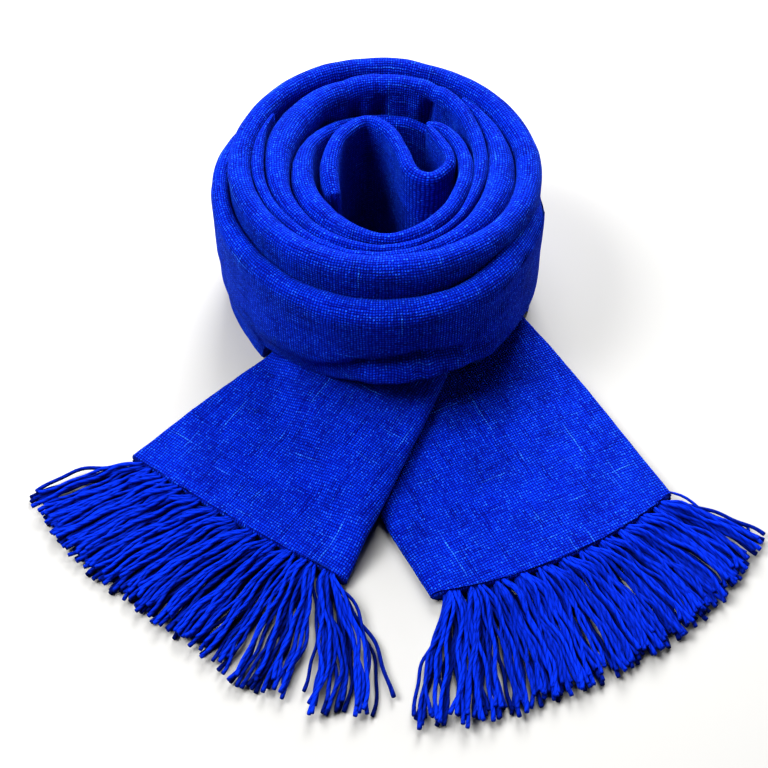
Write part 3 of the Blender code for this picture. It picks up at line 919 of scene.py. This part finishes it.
def centre_loop(material, unevenness):
    """The innermost strip: a loop at the left and back, and the hook at its end."""
    stations = LOOP_STEPS * (len(LOOP_ROWS) - 1)
    rows = [blend_rows(LOOP_ROWS, step / LOOP_STEPS) for step in range(stations + 1)]
    sections = []
    for index, row in enumerate(rows):
        before = rows[max(index - 1, 0)]
        after = rows[min(index + 1, stations)]
        ahead = Vector((after.x - before.x, after.y - before.y, 0.0)).normalized()
        across = Vector((-ahead.y, ahead.x, 0.0))
        centre = Vector((row.x, row.y, 0.0))
        grown = min(index, stations - index) / LOOP_END_STATIONS
        grown = min(LOOP_TIP_SHARE + (1.0 - LOOP_TIP_SHARE) * grown, 1.0)
        half = row.thickness / 2.0 * math.sqrt(grown)
        wave = noise.noise(Vector((index * LOOP_FINENESS, 4.0, 0.0)))
        top = row.top + LOOP_WAVE * wave
        points, _ = upright_section(-half, half, top, foot_height(row.x, row.y))
        sections.append([centre + across * aside + UP * height for aside, height, _ in points])
    return finish_cloth("centre_loop", band_mesh(sections, False), material, unevenness)


def frontward(line):
    """Direction square to a line in plan, on the side towards the front."""
    square = Vector((line.y, -line.x)).normalized()
    return -square if square.y > 0.0 else square


def tail_point(rows, bow, across, along):
    """Plan position on a laid end, across from its outer to its inner edge."""
    columns = [row.along for row in rows]
    index = max(step for step in range(len(rows) - 1) if columns[step] <= along + 1e-9)
    part = (along - columns[index]) / (columns[index + 1] - columns[index])
    row = blend_rows(rows, index + part)
    outer = Vector((row.outer_x, row.outer_y))
    inner = Vector((row.inner_x, row.inner_y))
    bulge = bow * 4.0 * across * (1.0 - across) * (1.0 - smooth(along / HEM_BOW_FADE))
    return outer.lerp(inner, across) + frontward(inner - outer) * bulge


def tail_section(rows, bow, base, along, squeeze):
    """Points across a laid end, with the height share that the hem's rounding leaves."""
    outer = tail_point(rows, bow, 0.0, along)
    inner = tail_point(rows, bow, 1.0, along)
    width = (inner - outer).length
    half = BAND_THICKNESS / 2.0
    points = []

    def add(aside, height):
        plan = tail_point(rows, bow, aside / width, along)
        lift = base(plan.x, plan.y) if base else 0.0
        eased = half + (height - half) * squeeze
        points.append(Vector((plan.x, plan.y, lift + eased)))

    last = width - FOLD_REACH
    cell_width = last - LAYER_GROOVE
    for cell in range(TAIL_CELLS + 1):
        add(LAYER_GROOVE + cell_width * cell / TAIL_CELLS, BAND_THICKNESS)
    for step in range(1, FOLD_STEPS):
        angle = math.pi * step / FOLD_STEPS
        add(last + FOLD_REACH * math.sin(angle), half + half * math.cos(angle))
    for cell in range(TAIL_CELLS, -1, -1):
        add(LAYER_GROOVE + cell_width * cell / TAIL_CELLS, 0.0)
    layer = BAND_THICKNESS / LAYER_COUNT
    for index, back in enumerate(LAYER_STEP_BACK):
        add(back + LAYER_NOSE, layer * (index + 0.5 - LAYER_HALF))
        add(back, layer * (index + 0.5))
        add(back + LAYER_NOSE, layer * (index + 0.5 + LAYER_HALF))
        if index < LAYER_COUNT - 1:
            add(LAYER_GROOVE + back, layer * (index + 1))
    return points


def rim_chain(bm, points):
    """Open edges that join a run of points at the end of a wrapped grid."""
    spots = {tuple(round(value, 3) for value in point) for point in points}
    chain = []
    for edge in bm.edges:
        if not edge.is_boundary:
            continue
        ends = [tuple(round(value, 3) for value in vert.co) for vert in edge.verts]
        if all(end in spots for end in ends):
            chain.append(edge)
    return chain


def laid_end(node, rows, bow, base, material, unevenness):
    """One laid end of the band, from its hem to where the roll hides it."""
    outer = tail_point(rows, bow, 0.0, 0.0)
    inner = tail_point(rows, bow, 1.0, 0.0)
    outward = frontward(inner - outer)
    hemward = (inner - outer).normalized()
    sections = []
    for reach, squeeze in HEM_STEPS:
        shift = outward.to_3d() * HEM_ROUND * (reach - 1.0)
        at_hem = tail_section(rows, bow, base, 0.0, squeeze)
        sections.append([point + shift for point in at_hem])
    for step in range(1, TAIL_RUNS + 1):
        sections.append(tail_section(rows, bow, base, step / TAIL_RUNS, 1.0))
    spots = []
    for section in sections:
        aside = (section[0].xy - outer).dot(hemward)
        row = []
        for before, point in zip(section[:1] + section, section + section[:1]):
            aside += (point - before).length
            row.append(((outer - point.xy).dot(outward) * MM, aside * MM))
        spots.append(row)
    bm = wrapped_mesh(sections, spots)
    lower_start = TAIL_CELLS + FOLD_STEPS
    for section in (sections[0], sections[-1]):
        upper = rim_chain(bm, section[: TAIL_CELLS + 1])
        lower = rim_chain(bm, section[lower_start : lower_start + TAIL_CELLS + 1])
        bmesh.ops.bridge_loops(bm, edges=upper + lower)
    fill_rims(bm)
    return finish_cloth(node, bm, material, unevenness)


def hem_frame(rows, bow, along):
    """Place on the hem, its outward direction and the direction along it."""
    step = 0.01
    here = tail_point(rows, bow, along, 0.0)
    ahead = tail_point(rows, bow, min(along + step, 1.0), 0.0)
    behind = tail_point(rows, bow, max(along - step, 0.0), 0.0)
    hemward = (ahead - behind).normalized()
    return here, frontward(hemward), hemward


def wave_angle(part, waves, phase):
    """Angle of a wave at a part of a yarn's length."""
    return math.tau * (part * waves + phase)


def yarn_path(rows, bow, fan, bundle, lean, share, level, chance):
    """Centres of one yarn from inside the hem to its cut tip, in millimetres."""
    along = STRIP_END + (1.0 - 2.0 * STRIP_END) * (bundle + 0.5) / BUNDLES
    here, outward, hemward = hem_frame(rows, bow, along)
    row = blend_rows(fan, along * (len(fan) - 1))
    spread = share if fan[-1].root_heading > fan[0].root_heading else -share
    stray = STRAY_FACTOR if chance.random() < STRAY_CHANCE else 1.0
    square = math.degrees(math.atan2(outward.y, outward.x)) % 360.0
    start = square + spread * ROOT_SPREAD + chance.uniform(-5.0, 5.0)
    near = row.root_heading + spread * NEAR_SPREAD + chance.uniform(-5.0, 5.0)
    middle = (row.root_heading + row.tip_heading) / 2.0 + spread * MIDDLE_SPREAD + lean
    middle += chance.uniform(-6.0, 6.0) * stray
    tip = row.tip_heading + spread * TIP_SPREAD - lean + chance.uniform(-7.0, 7.0) * stray
    length = row.length * chance.uniform(0.92, 1.05)
    sway = chance.uniform(-1.0, 1.0)
    phase = chance.uniform(0.0, 1.0)
    ripples = chance.uniform(2.2, 3.4)
    place = here + hemward * share * ROOT_HALF_WIDTH
    root_height = ROOT_LOW + ROOT_RISE * level
    path = [(place - outward * ROOT_INSIDE).to_3d() + UP * root_height]
    root_height += ROOT_STEP
    place += outward * ROOT_OUTSIDE
    path.append(place.to_3d() + UP * root_height)
    for step in range(1, YARN_SEGMENTS):
        part = step / (YARN_SEGMENTS - 1)
        heading = start + (near - start) * smooth(part / NEAR_PART)
        heading += (middle - near) * smooth((part - NEAR_PART) / (MIDDLE_PART - NEAR_PART))
        heading += (tip - middle) * smooth((part - MIDDLE_PART) / (1.0 - MIDDLE_PART))
        heading += SWAY * sway * math.cos(wave_angle(part, SWAY_WAVES, phase))
        heading += RIPPLE * math.cos(wave_angle(part, ripples, phase * 3.0))
        angle = math.radians(heading)
        step_length = length / (YARN_SEGMENTS - 1)
        place = place + Vector((math.cos(angle), math.sin(angle))) * step_length
        arch = ARCH * math.sin(math.pi * min(part / ARCH_PART, 1.0)) * (0.2 + 0.8 * level)
        arch *= 1.2 - 0.6 * share * share
        rest = REST_LOW + REST_RISE * level * (1.0 - 0.3 * part)
        height = root_height + (rest - root_height) * smooth(part / SETTLE_PART) + arch
        height += BOB * sway * math.sin(wave_angle(part, BOB_WAVES, phase))
        path.append(place.to_3d() + UP * max(height, LOWEST))
    return path


def grow_yarn(bm, chart, painted_light_layer, path, radius, painted_light, shift):
    """One yarn: a tube along its path with a slightly flared, closed tip, carrying its painted
    light.
    """
    runs = len(path) - 1
    rim = math.tau * radius * MM
    along = shift
    rings = []
    spots = []
    for step, point in enumerate(path):
        before = path[max(step - 1, 0)]
        along += (point - before).length * MM
        ahead = (path[min(step + 1, runs)] - before).normalized()
        across = ahead.cross(UP).normalized()
        up = across.cross(ahead).normalized()
        flare = {0: ROOT_FLARE, runs: TIP_FLARE}.get(step, 1.0)
        ring = []
        for side in range(YARN_SIDES):
            angle = math.tau * side / YARN_SIDES
            offset = (across * math.cos(angle) + up * math.sin(angle)) * radius * flare
            ring.append(point + offset)
        rings.append(ring)
        spots.append([(rim * side / YARN_SIDES, along) for side in range(YARN_SIDES + 1)])
    verts = wrapped_grid(bm, chart, rings, spots)
    # Every vertex keeps the yarn's painted light; a low value paints shade on a yarn that lies
    # under others.
    for vert in verts:
        vert[painted_light_layer] = painted_light
    faces = {face for vert in verts for face in vert.link_faces}
    bmesh.ops.remove_doubles(bm, verts=verts, dist=MERGE)
    live = {vert for face in faces if face.is_valid for vert in face.verts}
    rims = {edge for vert in live for edge in vert.link_edges if edge.is_boundary}
    filled = bmesh.ops.holes_fill(bm, edges=list(rims), sides=0)
    bmesh.ops.inset_individual(bm, faces=filled["faces"], thickness=radius * 0.3, depth=0.0)


def fringe(node, rows, bow, fan, settings, material, seed, strays):
    """All the yarns of one hem as one piece."""
    chance = random.Random(seed)
    bm = bmesh.new()
    chart = bm.loops.layers.uv.new("UVMap")
    painted_light_layer = bm.verts.layers.float.new("yarn_tone")
    radius = settings.yarn_thickness / MM / 2.0
    count = settings.yarns_per_bundle
    for bundle in range(BUNDLES):
        lean = chance.uniform(-BUNDLE_LEAN, BUNDLE_LEAN)
        levels = [(rank + 0.5) / count for rank in range(count)]
        chance.shuffle(levels)
        for index, level in enumerate(levels):
            share = (index + 0.5) / count * 2.0 - 1.0 + chance.uniform(-0.08, 0.08)
            path = yarn_path(rows, bow, fan, bundle, lean, share, level, chance)
            thick = radius * chance.uniform(0.9, 1.08)
            # Painted shade: yarns low in the bundle get a dark painted light value and those on
            # top a bright one, for the shade the upper yarns cast.
            painted_light = level**1.2 * chance.uniform(0.7, 1.0)
            grow_yarn(bm, chart, painted_light_layer, path, thick, painted_light, chance.uniform(0.0, 0.5))
    for stray in strays:
        path = [Vector(point) for point in stray]
        thick = radius * STRAY_THICKNESS
        grow_yarn(bm, chart, painted_light_layer, path, thick, STRAY_PAINTED_LIGHT, STRAY_SHIFT)
    piece = finish_piece(node + "_yarns", node, bm, material)
    rounding = piece.modifiers.new("Rounding", "SUBSURF")
    rounding.levels = 1
    rounding.render_levels = 1
    return piece


def add_node(tree, kind, **values):
    """Add a shader node and set its own options."""
    node = tree.nodes.new(kind)
    for name, value in values.items():
        setattr(node, name, value)
    return node


def feed(tree, sockets, *sources):
    """Set sockets in order from other sockets or plain values."""
    for socket, source in zip(sockets, sources):
        if isinstance(source, bpy.types.NodeSocket):
            tree.links.new(source, socket)
        else:
            socket.default_value = source


def maths(tree, operation, *sources, clamp=False):
    """A Math node; returns its result."""
    node = add_node(tree, "ShaderNodeMath", operation=operation, use_clamp=clamp)
    feed(tree, node.inputs, *sources)
    return node.outputs[0]


def arithmetic(tree):
    """Short calls for one tree: times, plus, less and power."""
    return [partial(maths, tree, kind) for kind in ("MULTIPLY", "ADD", "SUBTRACT", "POWER")]


def vector_maths(tree, operation, first, second):
    """A Vector Math node; returns its vector."""
    node = add_node(tree, "ShaderNodeVectorMath", operation=operation)
    second_socket = node.inputs["Scale"] if operation == "SCALE" else node.inputs[1]
    feed(tree, (node.inputs[0], second_socket), first, second)
    return node.outputs["Vector"]


def vector_from(tree, x, y, z=0.0):
    """Three values joined into a vector."""
    node = add_node(tree, "ShaderNodeCombineXYZ")
    feed(tree, node.inputs, x, y, z)
    return node.outputs["Vector"]


def split_vector(tree, vector):
    """The first two values of a vector."""
    node = add_node(tree, "ShaderNodeSeparateXYZ")
    tree.links.new(vector, node.inputs[0])
    return node.outputs[0], node.outputs[1]


def ranged(tree, value, low, high, new_low=0.0, new_high=1.0):
    """A value eased from one range into another and held there."""
    node = add_node(tree, "ShaderNodeMapRange", interpolation_type="SMOOTHSTEP", clamp=True)
    feed(tree, node.inputs, value, low, high, new_low, new_high)
    return node.outputs["Result"]


def grain_of(tree, vector, scale, detail, rough=0.5, dimensions="3D"):
    """A noise node on a vector."""
    node = add_node(tree, "ShaderNodeTexNoise", noise_dimensions=dimensions)
    tree.links.new(vector, node.inputs["Vector"])
    node.inputs["Scale"].default_value = scale
    node.inputs["Detail"].default_value = detail
    node.inputs["Roughness"].default_value = rough
    return node


def mixed_colour(tree, share, first, second, blend="MIX"):
    """Two colours mixed by a share."""
    node = add_node(tree, "ShaderNodeMix", data_type="RGBA", blend_type=blend)
    feed(tree, (node.inputs[0], node.inputs[6], node.inputs[7]), share, first, second)
    return node.outputs[2]


def new_group(name, inputs, outputs):
    """A shader node group with named sockets."""
    tree = bpy.data.node_groups.new(name, "ShaderNodeTree")
    for label, kind in inputs:
        tree.interface.new_socket(label, in_out="INPUT", socket_type=kind)
    for label in outputs:
        tree.interface.new_socket(label, in_out="OUTPUT", socket_type="NodeSocketFloat")
    return tree, tree.nodes.new("NodeGroupInput").outputs, tree.nodes.new("NodeGroupOutput").inputs


def nap_group(name):
    """Short raised fibres, as fine noise in two sizes."""
    tree, given, result = new_group(
        name,
        [("Vector", "NodeSocketVector"), ("Fibre size", "NodeSocketFloat")],
        ["Height"],
    )
    scale = maths(tree, "DIVIDE", 1.0, given["Fibre size"])
    scaled = vector_maths(tree, "SCALE", given["Vector"], scale)
    grain = grain_of(tree, scaled, 1.0, 3.0, rough=0.6)
    tree.links.new(grain.outputs["Fac"], result["Height"])
    return tree


def weave_group(name):
    """Uneven plain weave with slubs, painted shade in the gaps between threads and painted glints
    on the strongest crowns; the vector is in metres along the threads.
    """
    tree, given, result = new_group(
        name,
        [("Vector", "NodeSocketVector"), ("Pitch", "NodeSocketFloat")],
        ["Height", "Crown", "Slub", "Patch"],
    )
    times, plus, less, power = arithmetic(tree)

    def thread_noise(x, y, z, detail, dimensions="3D"):
        node = grain_of(tree, vector_from(tree, x, y, z), 1.0, detail, dimensions=dimensions)
        return node.outputs["Fac"]

    # The threads wander, then the vector counts them in both directions.
    vector = given["Vector"]
    wander = grain_of(tree, vector, 150.0, 4.0, rough=0.7)
    centred = vector_maths(tree, "SUBTRACT", wander.outputs["Color"], (0.5, 0.5, 0.5))
    bent = vector_maths(tree, "ADD", vector, vector_maths(tree, "SCALE", centred, 0.0018))
    per_metre = maths(tree, "DIVIDE", 1.0, given["Pitch"])
    x, y = split_vector(tree, vector_maths(tree, "SCALE", bent, per_metre))
    x_index = maths(tree, "FLOOR", x)
    y_index = maths(tree, "FLOOR", y)
    x_wave = maths(tree, "ABSOLUTE", maths(tree, "SINE", times(x, math.pi)))
    y_wave = maths(tree, "ABSOLUTE", maths(tree, "SINE", times(y, math.pi)))

    # Lengthwise and crosswise threads float in turn.
    parity = maths(tree, "FLOORED_MODULO", plus(x_index, y_index), 2.0)
    lengthwise = times(power(y_wave, 0.8), power(x_wave, 1.5))
    crosswise = times(power(x_wave, 0.8), power(y_wave, 1.5))
    floats = plus(lengthwise, times(less(crosswise, lengthwise), parity))

    # Each cell has its own tone, and each thread swells and thins along its length.
    white = add_node(tree, "ShaderNodeTexWhiteNoise", noise_dimensions="2D")
    tree.links.new(vector_from(tree, x_index, y_index), white.inputs["Vector"])
    cell = white.outputs["Value"]
    streak_along = thread_noise(times(x, 0.06), times(y_index, 3.71), 0.0, 1.0, "2D")
    streak_across = thread_noise(times(x_index, 3.37), times(y, 0.06), 4.0, 1.0)
    thread_along = ranged(tree, streak_along, 0.3, 0.7)
    thread_across = ranged(tree, streak_across, 0.3, 0.7)
    thread = plus(thread_along, times(less(thread_across, thread_along), parity))
    strength = plus(times(thread, 0.40), times(cell, 0.60))

    # Slubs are short thick lengths of a thread.
    slub_along = thread_noise(times(x, 0.04), times(y_index, 5.13), 9.0, 0.0)
    slub_across = thread_noise(times(x_index, 5.77), times(y, 0.045), 17.0, 0.0)
    slub = maths(
        tree, "MAXIMUM",
        times(ranged(tree, slub_along, 0.72, 0.80), power(y_wave, 3.5)),
        times(ranged(tree, slub_across, 0.74, 0.82), power(x_wave, 3.5)),
    )
    slub = times(slub, plus(0.15, times(cell, 0.85)))

    # Where a thread is thin, the weave opens beside it, and painted shade darkens the opening.
    opening = maths(
        tree, "MAXIMUM",
        times(ranged(tree, streak_along, 0.36, 0.27), less(1.0, y_wave)),
        times(ranged(tree, streak_across, 0.36, 0.27), less(1.0, x_wave)),
    )
    # The crown mask falls to nothing between the threads, so the colour there is the painted gap
    # shade; it also varies at random from cell to cell.
    crown = times(floats, plus(0.22, times(strength, 1.15)))
    crown = less(crown, times(opening, 0.6))
    crown = plus(crown, times(slub, 0.35), clamp=True)
    height = plus(times(floats, plus(0.6, strength)), times(slub, 0.5))
    height = less(height, times(opening, 0.5))
    # Painted highlight: pale glints on the crowns of the strongest threads, joined with the real
    # pale slubs.
    crown_glint = times(ranged(tree, cell, 0.70, 1.0), power(floats, 3.0))
    pale = times(maths(tree, "MAXIMUM", slub, times(crown_glint, 0.48)), floats)
    patch = grain_of(tree, vector, 60.0, 2.0).outputs["Fac"]
    feed(tree, (result[label] for label in ("Height", "Crown", "Slub", "Patch")),
         height, crown, pale, patch)
    return tree


def placed_group(tree, name, make, size):
    """Place a node group, made at its first use, in a material; returns its outputs."""
    node = add_node(tree, "ShaderNodeGroup")
    node.node_tree = bpy.data.node_groups.get(name) or make(name)
    chart = add_node(tree, "ShaderNodeUVMap", uv_map="UVMap")
    tree.links.new(chart.outputs["UV"], node.inputs["Vector"])
    node.inputs[1].default_value = size
    return node.outputs


def new_material(name, finish):
    """A new material with fixed shader settings; returns it, its tree and its inputs."""
    material = bpy.data.materials.new(name)
    material.use_nodes = True
    tree = material.node_tree
    sockets = tree.nodes["Principled BSDF"].inputs
    for label, value in finish.items():
        sockets[label].default_value = value
    return material, tree, sockets


def raise_bump(tree, sockets, height, strength, distance):
    """Feed a height into the shader's normal."""
    bump = add_node(tree, "ShaderNodeBump")
    bump.inputs["Strength"].default_value = strength
    bump.inputs["Distance"].default_value = distance
    tree.links.new(height, bump.inputs["Height"])
    tree.links.new(bump.outputs["Normal"], sockets["Normal"])


def cloth_material(name, settings):
    """Blue woven cloth: uneven threads, pale slubs and a soft nap, with painted shade between the
    threads and painted glints on their crowns.
    """
    material, tree, sockets = new_material(name, CLOTH_FINISH)
    threads = placed_group(tree, "Slubbed plain weave", weave_group, settings.thread_pitch)
    fibres = placed_group(tree, "Nap", nap_group, 0.0005)
    gap, crown, slub = (
        (*colour, 1.0)
        for colour in (settings.gap_shade_colour, settings.thread_colour, settings.slub_and_glint_colour)
    )
    # From the painted shade in the gaps up to the thread colour on the crowns.
    colour = mixed_colour(tree, threads["Crown"], gap, crown)
    # Real pale slubs, and painted highlight glints on the thread crowns.
    colour = mixed_colour(tree, threads["Slub"], colour, slub)
    shade = ranged(tree, threads["Patch"], 0.3, 0.7, 0.82, 1.1)
    shade = vector_from(tree, shade, shade, shade)
    colour = mixed_colour(tree, 1.0, colour, shade, blend="MULTIPLY")
    tree.links.new(colour, sockets["Base Color"])
    rough = ranged(tree, threads["Crown"], 0.0, 1.0, 0.95, 0.8)
    tree.links.new(rough, sockets["Roughness"])
    fibre_height = maths(tree, "MULTIPLY", fibres["Height"], 0.9)
    height = maths(tree, "ADD", threads["Height"], fibre_height)
    raise_bump(tree, sockets, height, 0.8, 0.00045)
    return material


def yarn_material(name, settings):
    """Soft two-ply yarn whose plies show as slanting grooves, with painted shade in the grooves
    and on yarns that lie low in a bundle.
    """
    material, tree, sockets = new_material(name, YARN_FINISH)
    times, plus, less, power = arithmetic(tree)
    chart = add_node(tree, "ShaderNodeUVMap", uv_map="UVMap")
    around, along = split_vector(tree, chart.outputs["UV"])
    round_share = maths(tree, "DIVIDE", around, math.pi * settings.yarn_thickness)
    along_share = maths(tree, "DIVIDE", along, settings.twist_pitch)
    phase = times(plus(round_share, along_share), math.tau)
    ply = power(maths(tree, "ABSOLUTE", maths(tree, "SINE", phase)), 0.6)
    fibres = placed_group(tree, "Nap", nap_group, 0.0004)
    # The painted light attribute darkens the yarns that lie low in a bundle: painted shade.
    painted_light = add_node(tree, "ShaderNodeAttribute", attribute_name="yarn_tone")
    # The yarn's colour in full painted shade, and in painted light a little above its own colour.
    yarn_in_painted_shade = (*(channel * 0.05 for channel in settings.yarn_colour), 1.0)
    light = (*(min(channel * 1.2, 1.0) for channel in settings.yarn_colour), 1.0)
    lit = plus(0.08, times(painted_light.outputs["Fac"], 0.92))
    # Painted shade down in the grooves between the plies, on top of their bump.
    lit = times(lit, plus(0.45, times(ply, 0.55)))
    lit = plus(lit, times(less(fibres["Height"], 0.5), 0.35), clamp=True)
    tree.links.new(mixed_colour(tree, lit, yarn_in_painted_shade, light), sockets["Base Color"])
    raise_bump(tree, sockets, plus(ply, times(fibres["Height"], 0.5)), 0.7, 0.0004)
    return material


def the_cloth(context):
    """The cloth's material and unevenness, the material made at its first use."""
    name = "Blue woven cloth"
    settings = context.scene.stole_cloth
    material = bpy.data.materials.get(name) or cloth_material(name, settings)
    return material, settings.unevenness


class STOLE_OT_roll(bpy.types.Operator):
    """Make the cloth of the roll's six stretches"""

    bl_idname = "stole.make_roll"
    bl_label = "Roll"

    def execute(self, context):
        cloth, unevenness = the_cloth(context)
        for turn in TURNS:
            piece = turn_shell(turn, cloth, unevenness)
        piece = centre_loop(cloth, unevenness)
        return {"FINISHED"}


class STOLE_OT_ends(bpy.types.Operator):
    """Make the two laid ends of the stole"""

    bl_idname = "stole.make_ends"
    bl_label = "Laid ends"

    def execute(self, context):
        cloth, unevenness = the_cloth(context)
        laid_end("left_tail", LEFT_ROWS, LEFT_HEM_BOW, left_base, cloth, unevenness)
        laid_end("right_tail", RIGHT_ROWS, RIGHT_HEM_BOW, None, cloth, unevenness)
        return {"FINISHED"}


class STOLE_OT_fringe(bpy.types.Operator):
    """Make the fringe of both hems"""

    bl_idname = "stole.make_fringe"
    bl_label = "Fringe"

    def execute(self, context):
        settings = context.scene.stole_fringe
        yarn = yarn_material("Blue fringe yarn", settings)
        left = fringe(
            "left_fringe", LEFT_ROWS, LEFT_HEM_BOW, LEFT_FAN, settings, yarn, LEFT_SEED, (),
        )
        right = fringe(
            "right_fringe", RIGHT_ROWS, RIGHT_HEM_BOW, RIGHT_FAN, settings, yarn, RIGHT_SEED,
            (RIGHT_STRAY,),
        )
        return {"FINISHED"}


class STOLE_OT_stage(bpy.types.Operator):
    """Make the floor, the lights and the camera"""

    bl_idname = "stole.make_stage"
    bl_label = "Stage"

    def execute(self, context):
        settings = context.scene.stole_stage
        self.add_floor(context, settings)
        for light in LIGHTS:
            self.add_light(context, light, getattr(settings, light.power))
        self.add_camera(context)
        world = bpy.data.worlds.new("Even light")
        world.use_nodes = True
        tree = world.node_tree
        sky = tree.nodes["Background"]
        sky.inputs["Color"].default_value = (1.0, 1.0, 1.0, 1.0)
        seen = add_node(tree, "ShaderNodeLightPath").outputs["Is Camera Ray"]
        extra = maths(tree, "MULTIPLY", seen, settings.backdrop - settings.sky_strength)
        strength = maths(tree, "ADD", extra, settings.sky_strength)
        tree.links.new(strength, sky.inputs["Strength"])
        context.scene.world = world
        context.scene.view_settings.view_transform = "Standard"
        context.scene.view_settings.look = "Medium High Contrast"
        return {"FINISHED"}

    def add_floor(self, context, settings):
        """The plain floor."""
        finish = dict(FLOOR_FINISH)
        finish["Base Color"] = (*settings.floor_colour, 1.0)
        bm = bmesh.new()
        bmesh.ops.create_grid(bm, x_segments=1, y_segments=1, size=settings.floor_reach)
        mesh = bpy.data.meshes.new("Floor")
        bm.to_mesh(mesh)
        bm.free()
        mesh.materials.append(new_material("Plain floor", finish)[0])
        floor = bpy.data.objects.new("Floor", mesh)
        context.scene.collection.objects.link(floor)

    def add_light(self, context, light, power):
        """One soft square light that faces the roll."""
        lamp = bpy.data.lights.new(light.name, "AREA")
        lamp.energy = power
        lamp.size = light.size
        made = bpy.data.objects.new(light.name, lamp)
        made.location = Vector(light.place) + AXIS
        aim = AXIS + Vector(LIGHT_TARGET) - made.location
        made.rotation_euler = aim.to_track_quat("-Z", "Y").to_euler()
        context.scene.collection.objects.link(made)

    def add_camera(self, context):
        """The camera at the photograph's angle."""
        lens = bpy.data.cameras.new("Camera")
        lens.sensor_width = SENSOR_WIDTH
        lens.lens = SENSOR_WIDTH * FOCAL_PIXELS / FRAME_WIDTH
        camera = bpy.data.objects.new("Camera", lens)
        turn = Matrix.Rotation(CAMERA_TILT, 3, "X") @ Matrix.Rotation(CAMERA_ROLL, 3, "Z")
        camera.rotation_euler = turn.to_euler()
        camera.location = Vector(CAMERA_PLACE) * MM + AXIS
        context.scene.collection.objects.link(camera)
        context.scene.camera = camera


class STOLE_PT_panel(bpy.types.Panel):
    """Settings and makers of the stole"""

    bl_idname = "STOLE_PT_panel"
    bl_label = "Rolled stole"
    bl_space_type = "VIEW_3D"
    bl_region_type = "UI"
    bl_category = "Stole"

    def draw(self, context):
        layout = self.layout
        groups = (
            (context.scene.stole_cloth, (STOLE_OT_roll, STOLE_OT_ends)),
            (context.scene.stole_fringe, (STOLE_OT_fringe,)),
            (context.scene.stole_stage, (STOLE_OT_stage,)),
        )
        for settings, makers in groups:
            box = layout.box()
            for name in settings.__annotations__:
                box.prop(settings, name)
            for maker in makers:
                box.operator(maker.bl_idname)


CLASSES = (
    StoleCloth,
    StoleFringe,
    StoleStage,
    STOLE_OT_roll,
    STOLE_OT_ends,
    STOLE_OT_fringe,
    STOLE_OT_stage,
    STOLE_PT_panel,
)


def register():
    """Register the classes and their settings."""
    for item in CLASSES:
        bpy.utils.register_class(item)
    bpy.types.Scene.stole_cloth = bpy.props.PointerProperty(type=StoleCloth)
    bpy.types.Scene.stole_fringe = bpy.props.PointerProperty(type=StoleFringe)
    bpy.types.Scene.stole_stage = bpy.props.PointerProperty(type=StoleStage)


def unregister():
    """Remove the classes and their settings."""
    del bpy.types.Scene.stole_stage
    del bpy.types.Scene.stole_fringe
    del bpy.types.Scene.stole_cloth
    for item in reversed(CLASSES):
        bpy.utils.unregister_class(item)


def main():
    """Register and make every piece."""
    register()
    bpy.ops.stole.make_ends()
    bpy.ops.stole.make_roll()
    bpy.ops.stole.make_fringe()
    bpy.ops.stole.make_stage()


if __name__ == "__main__":
    main()
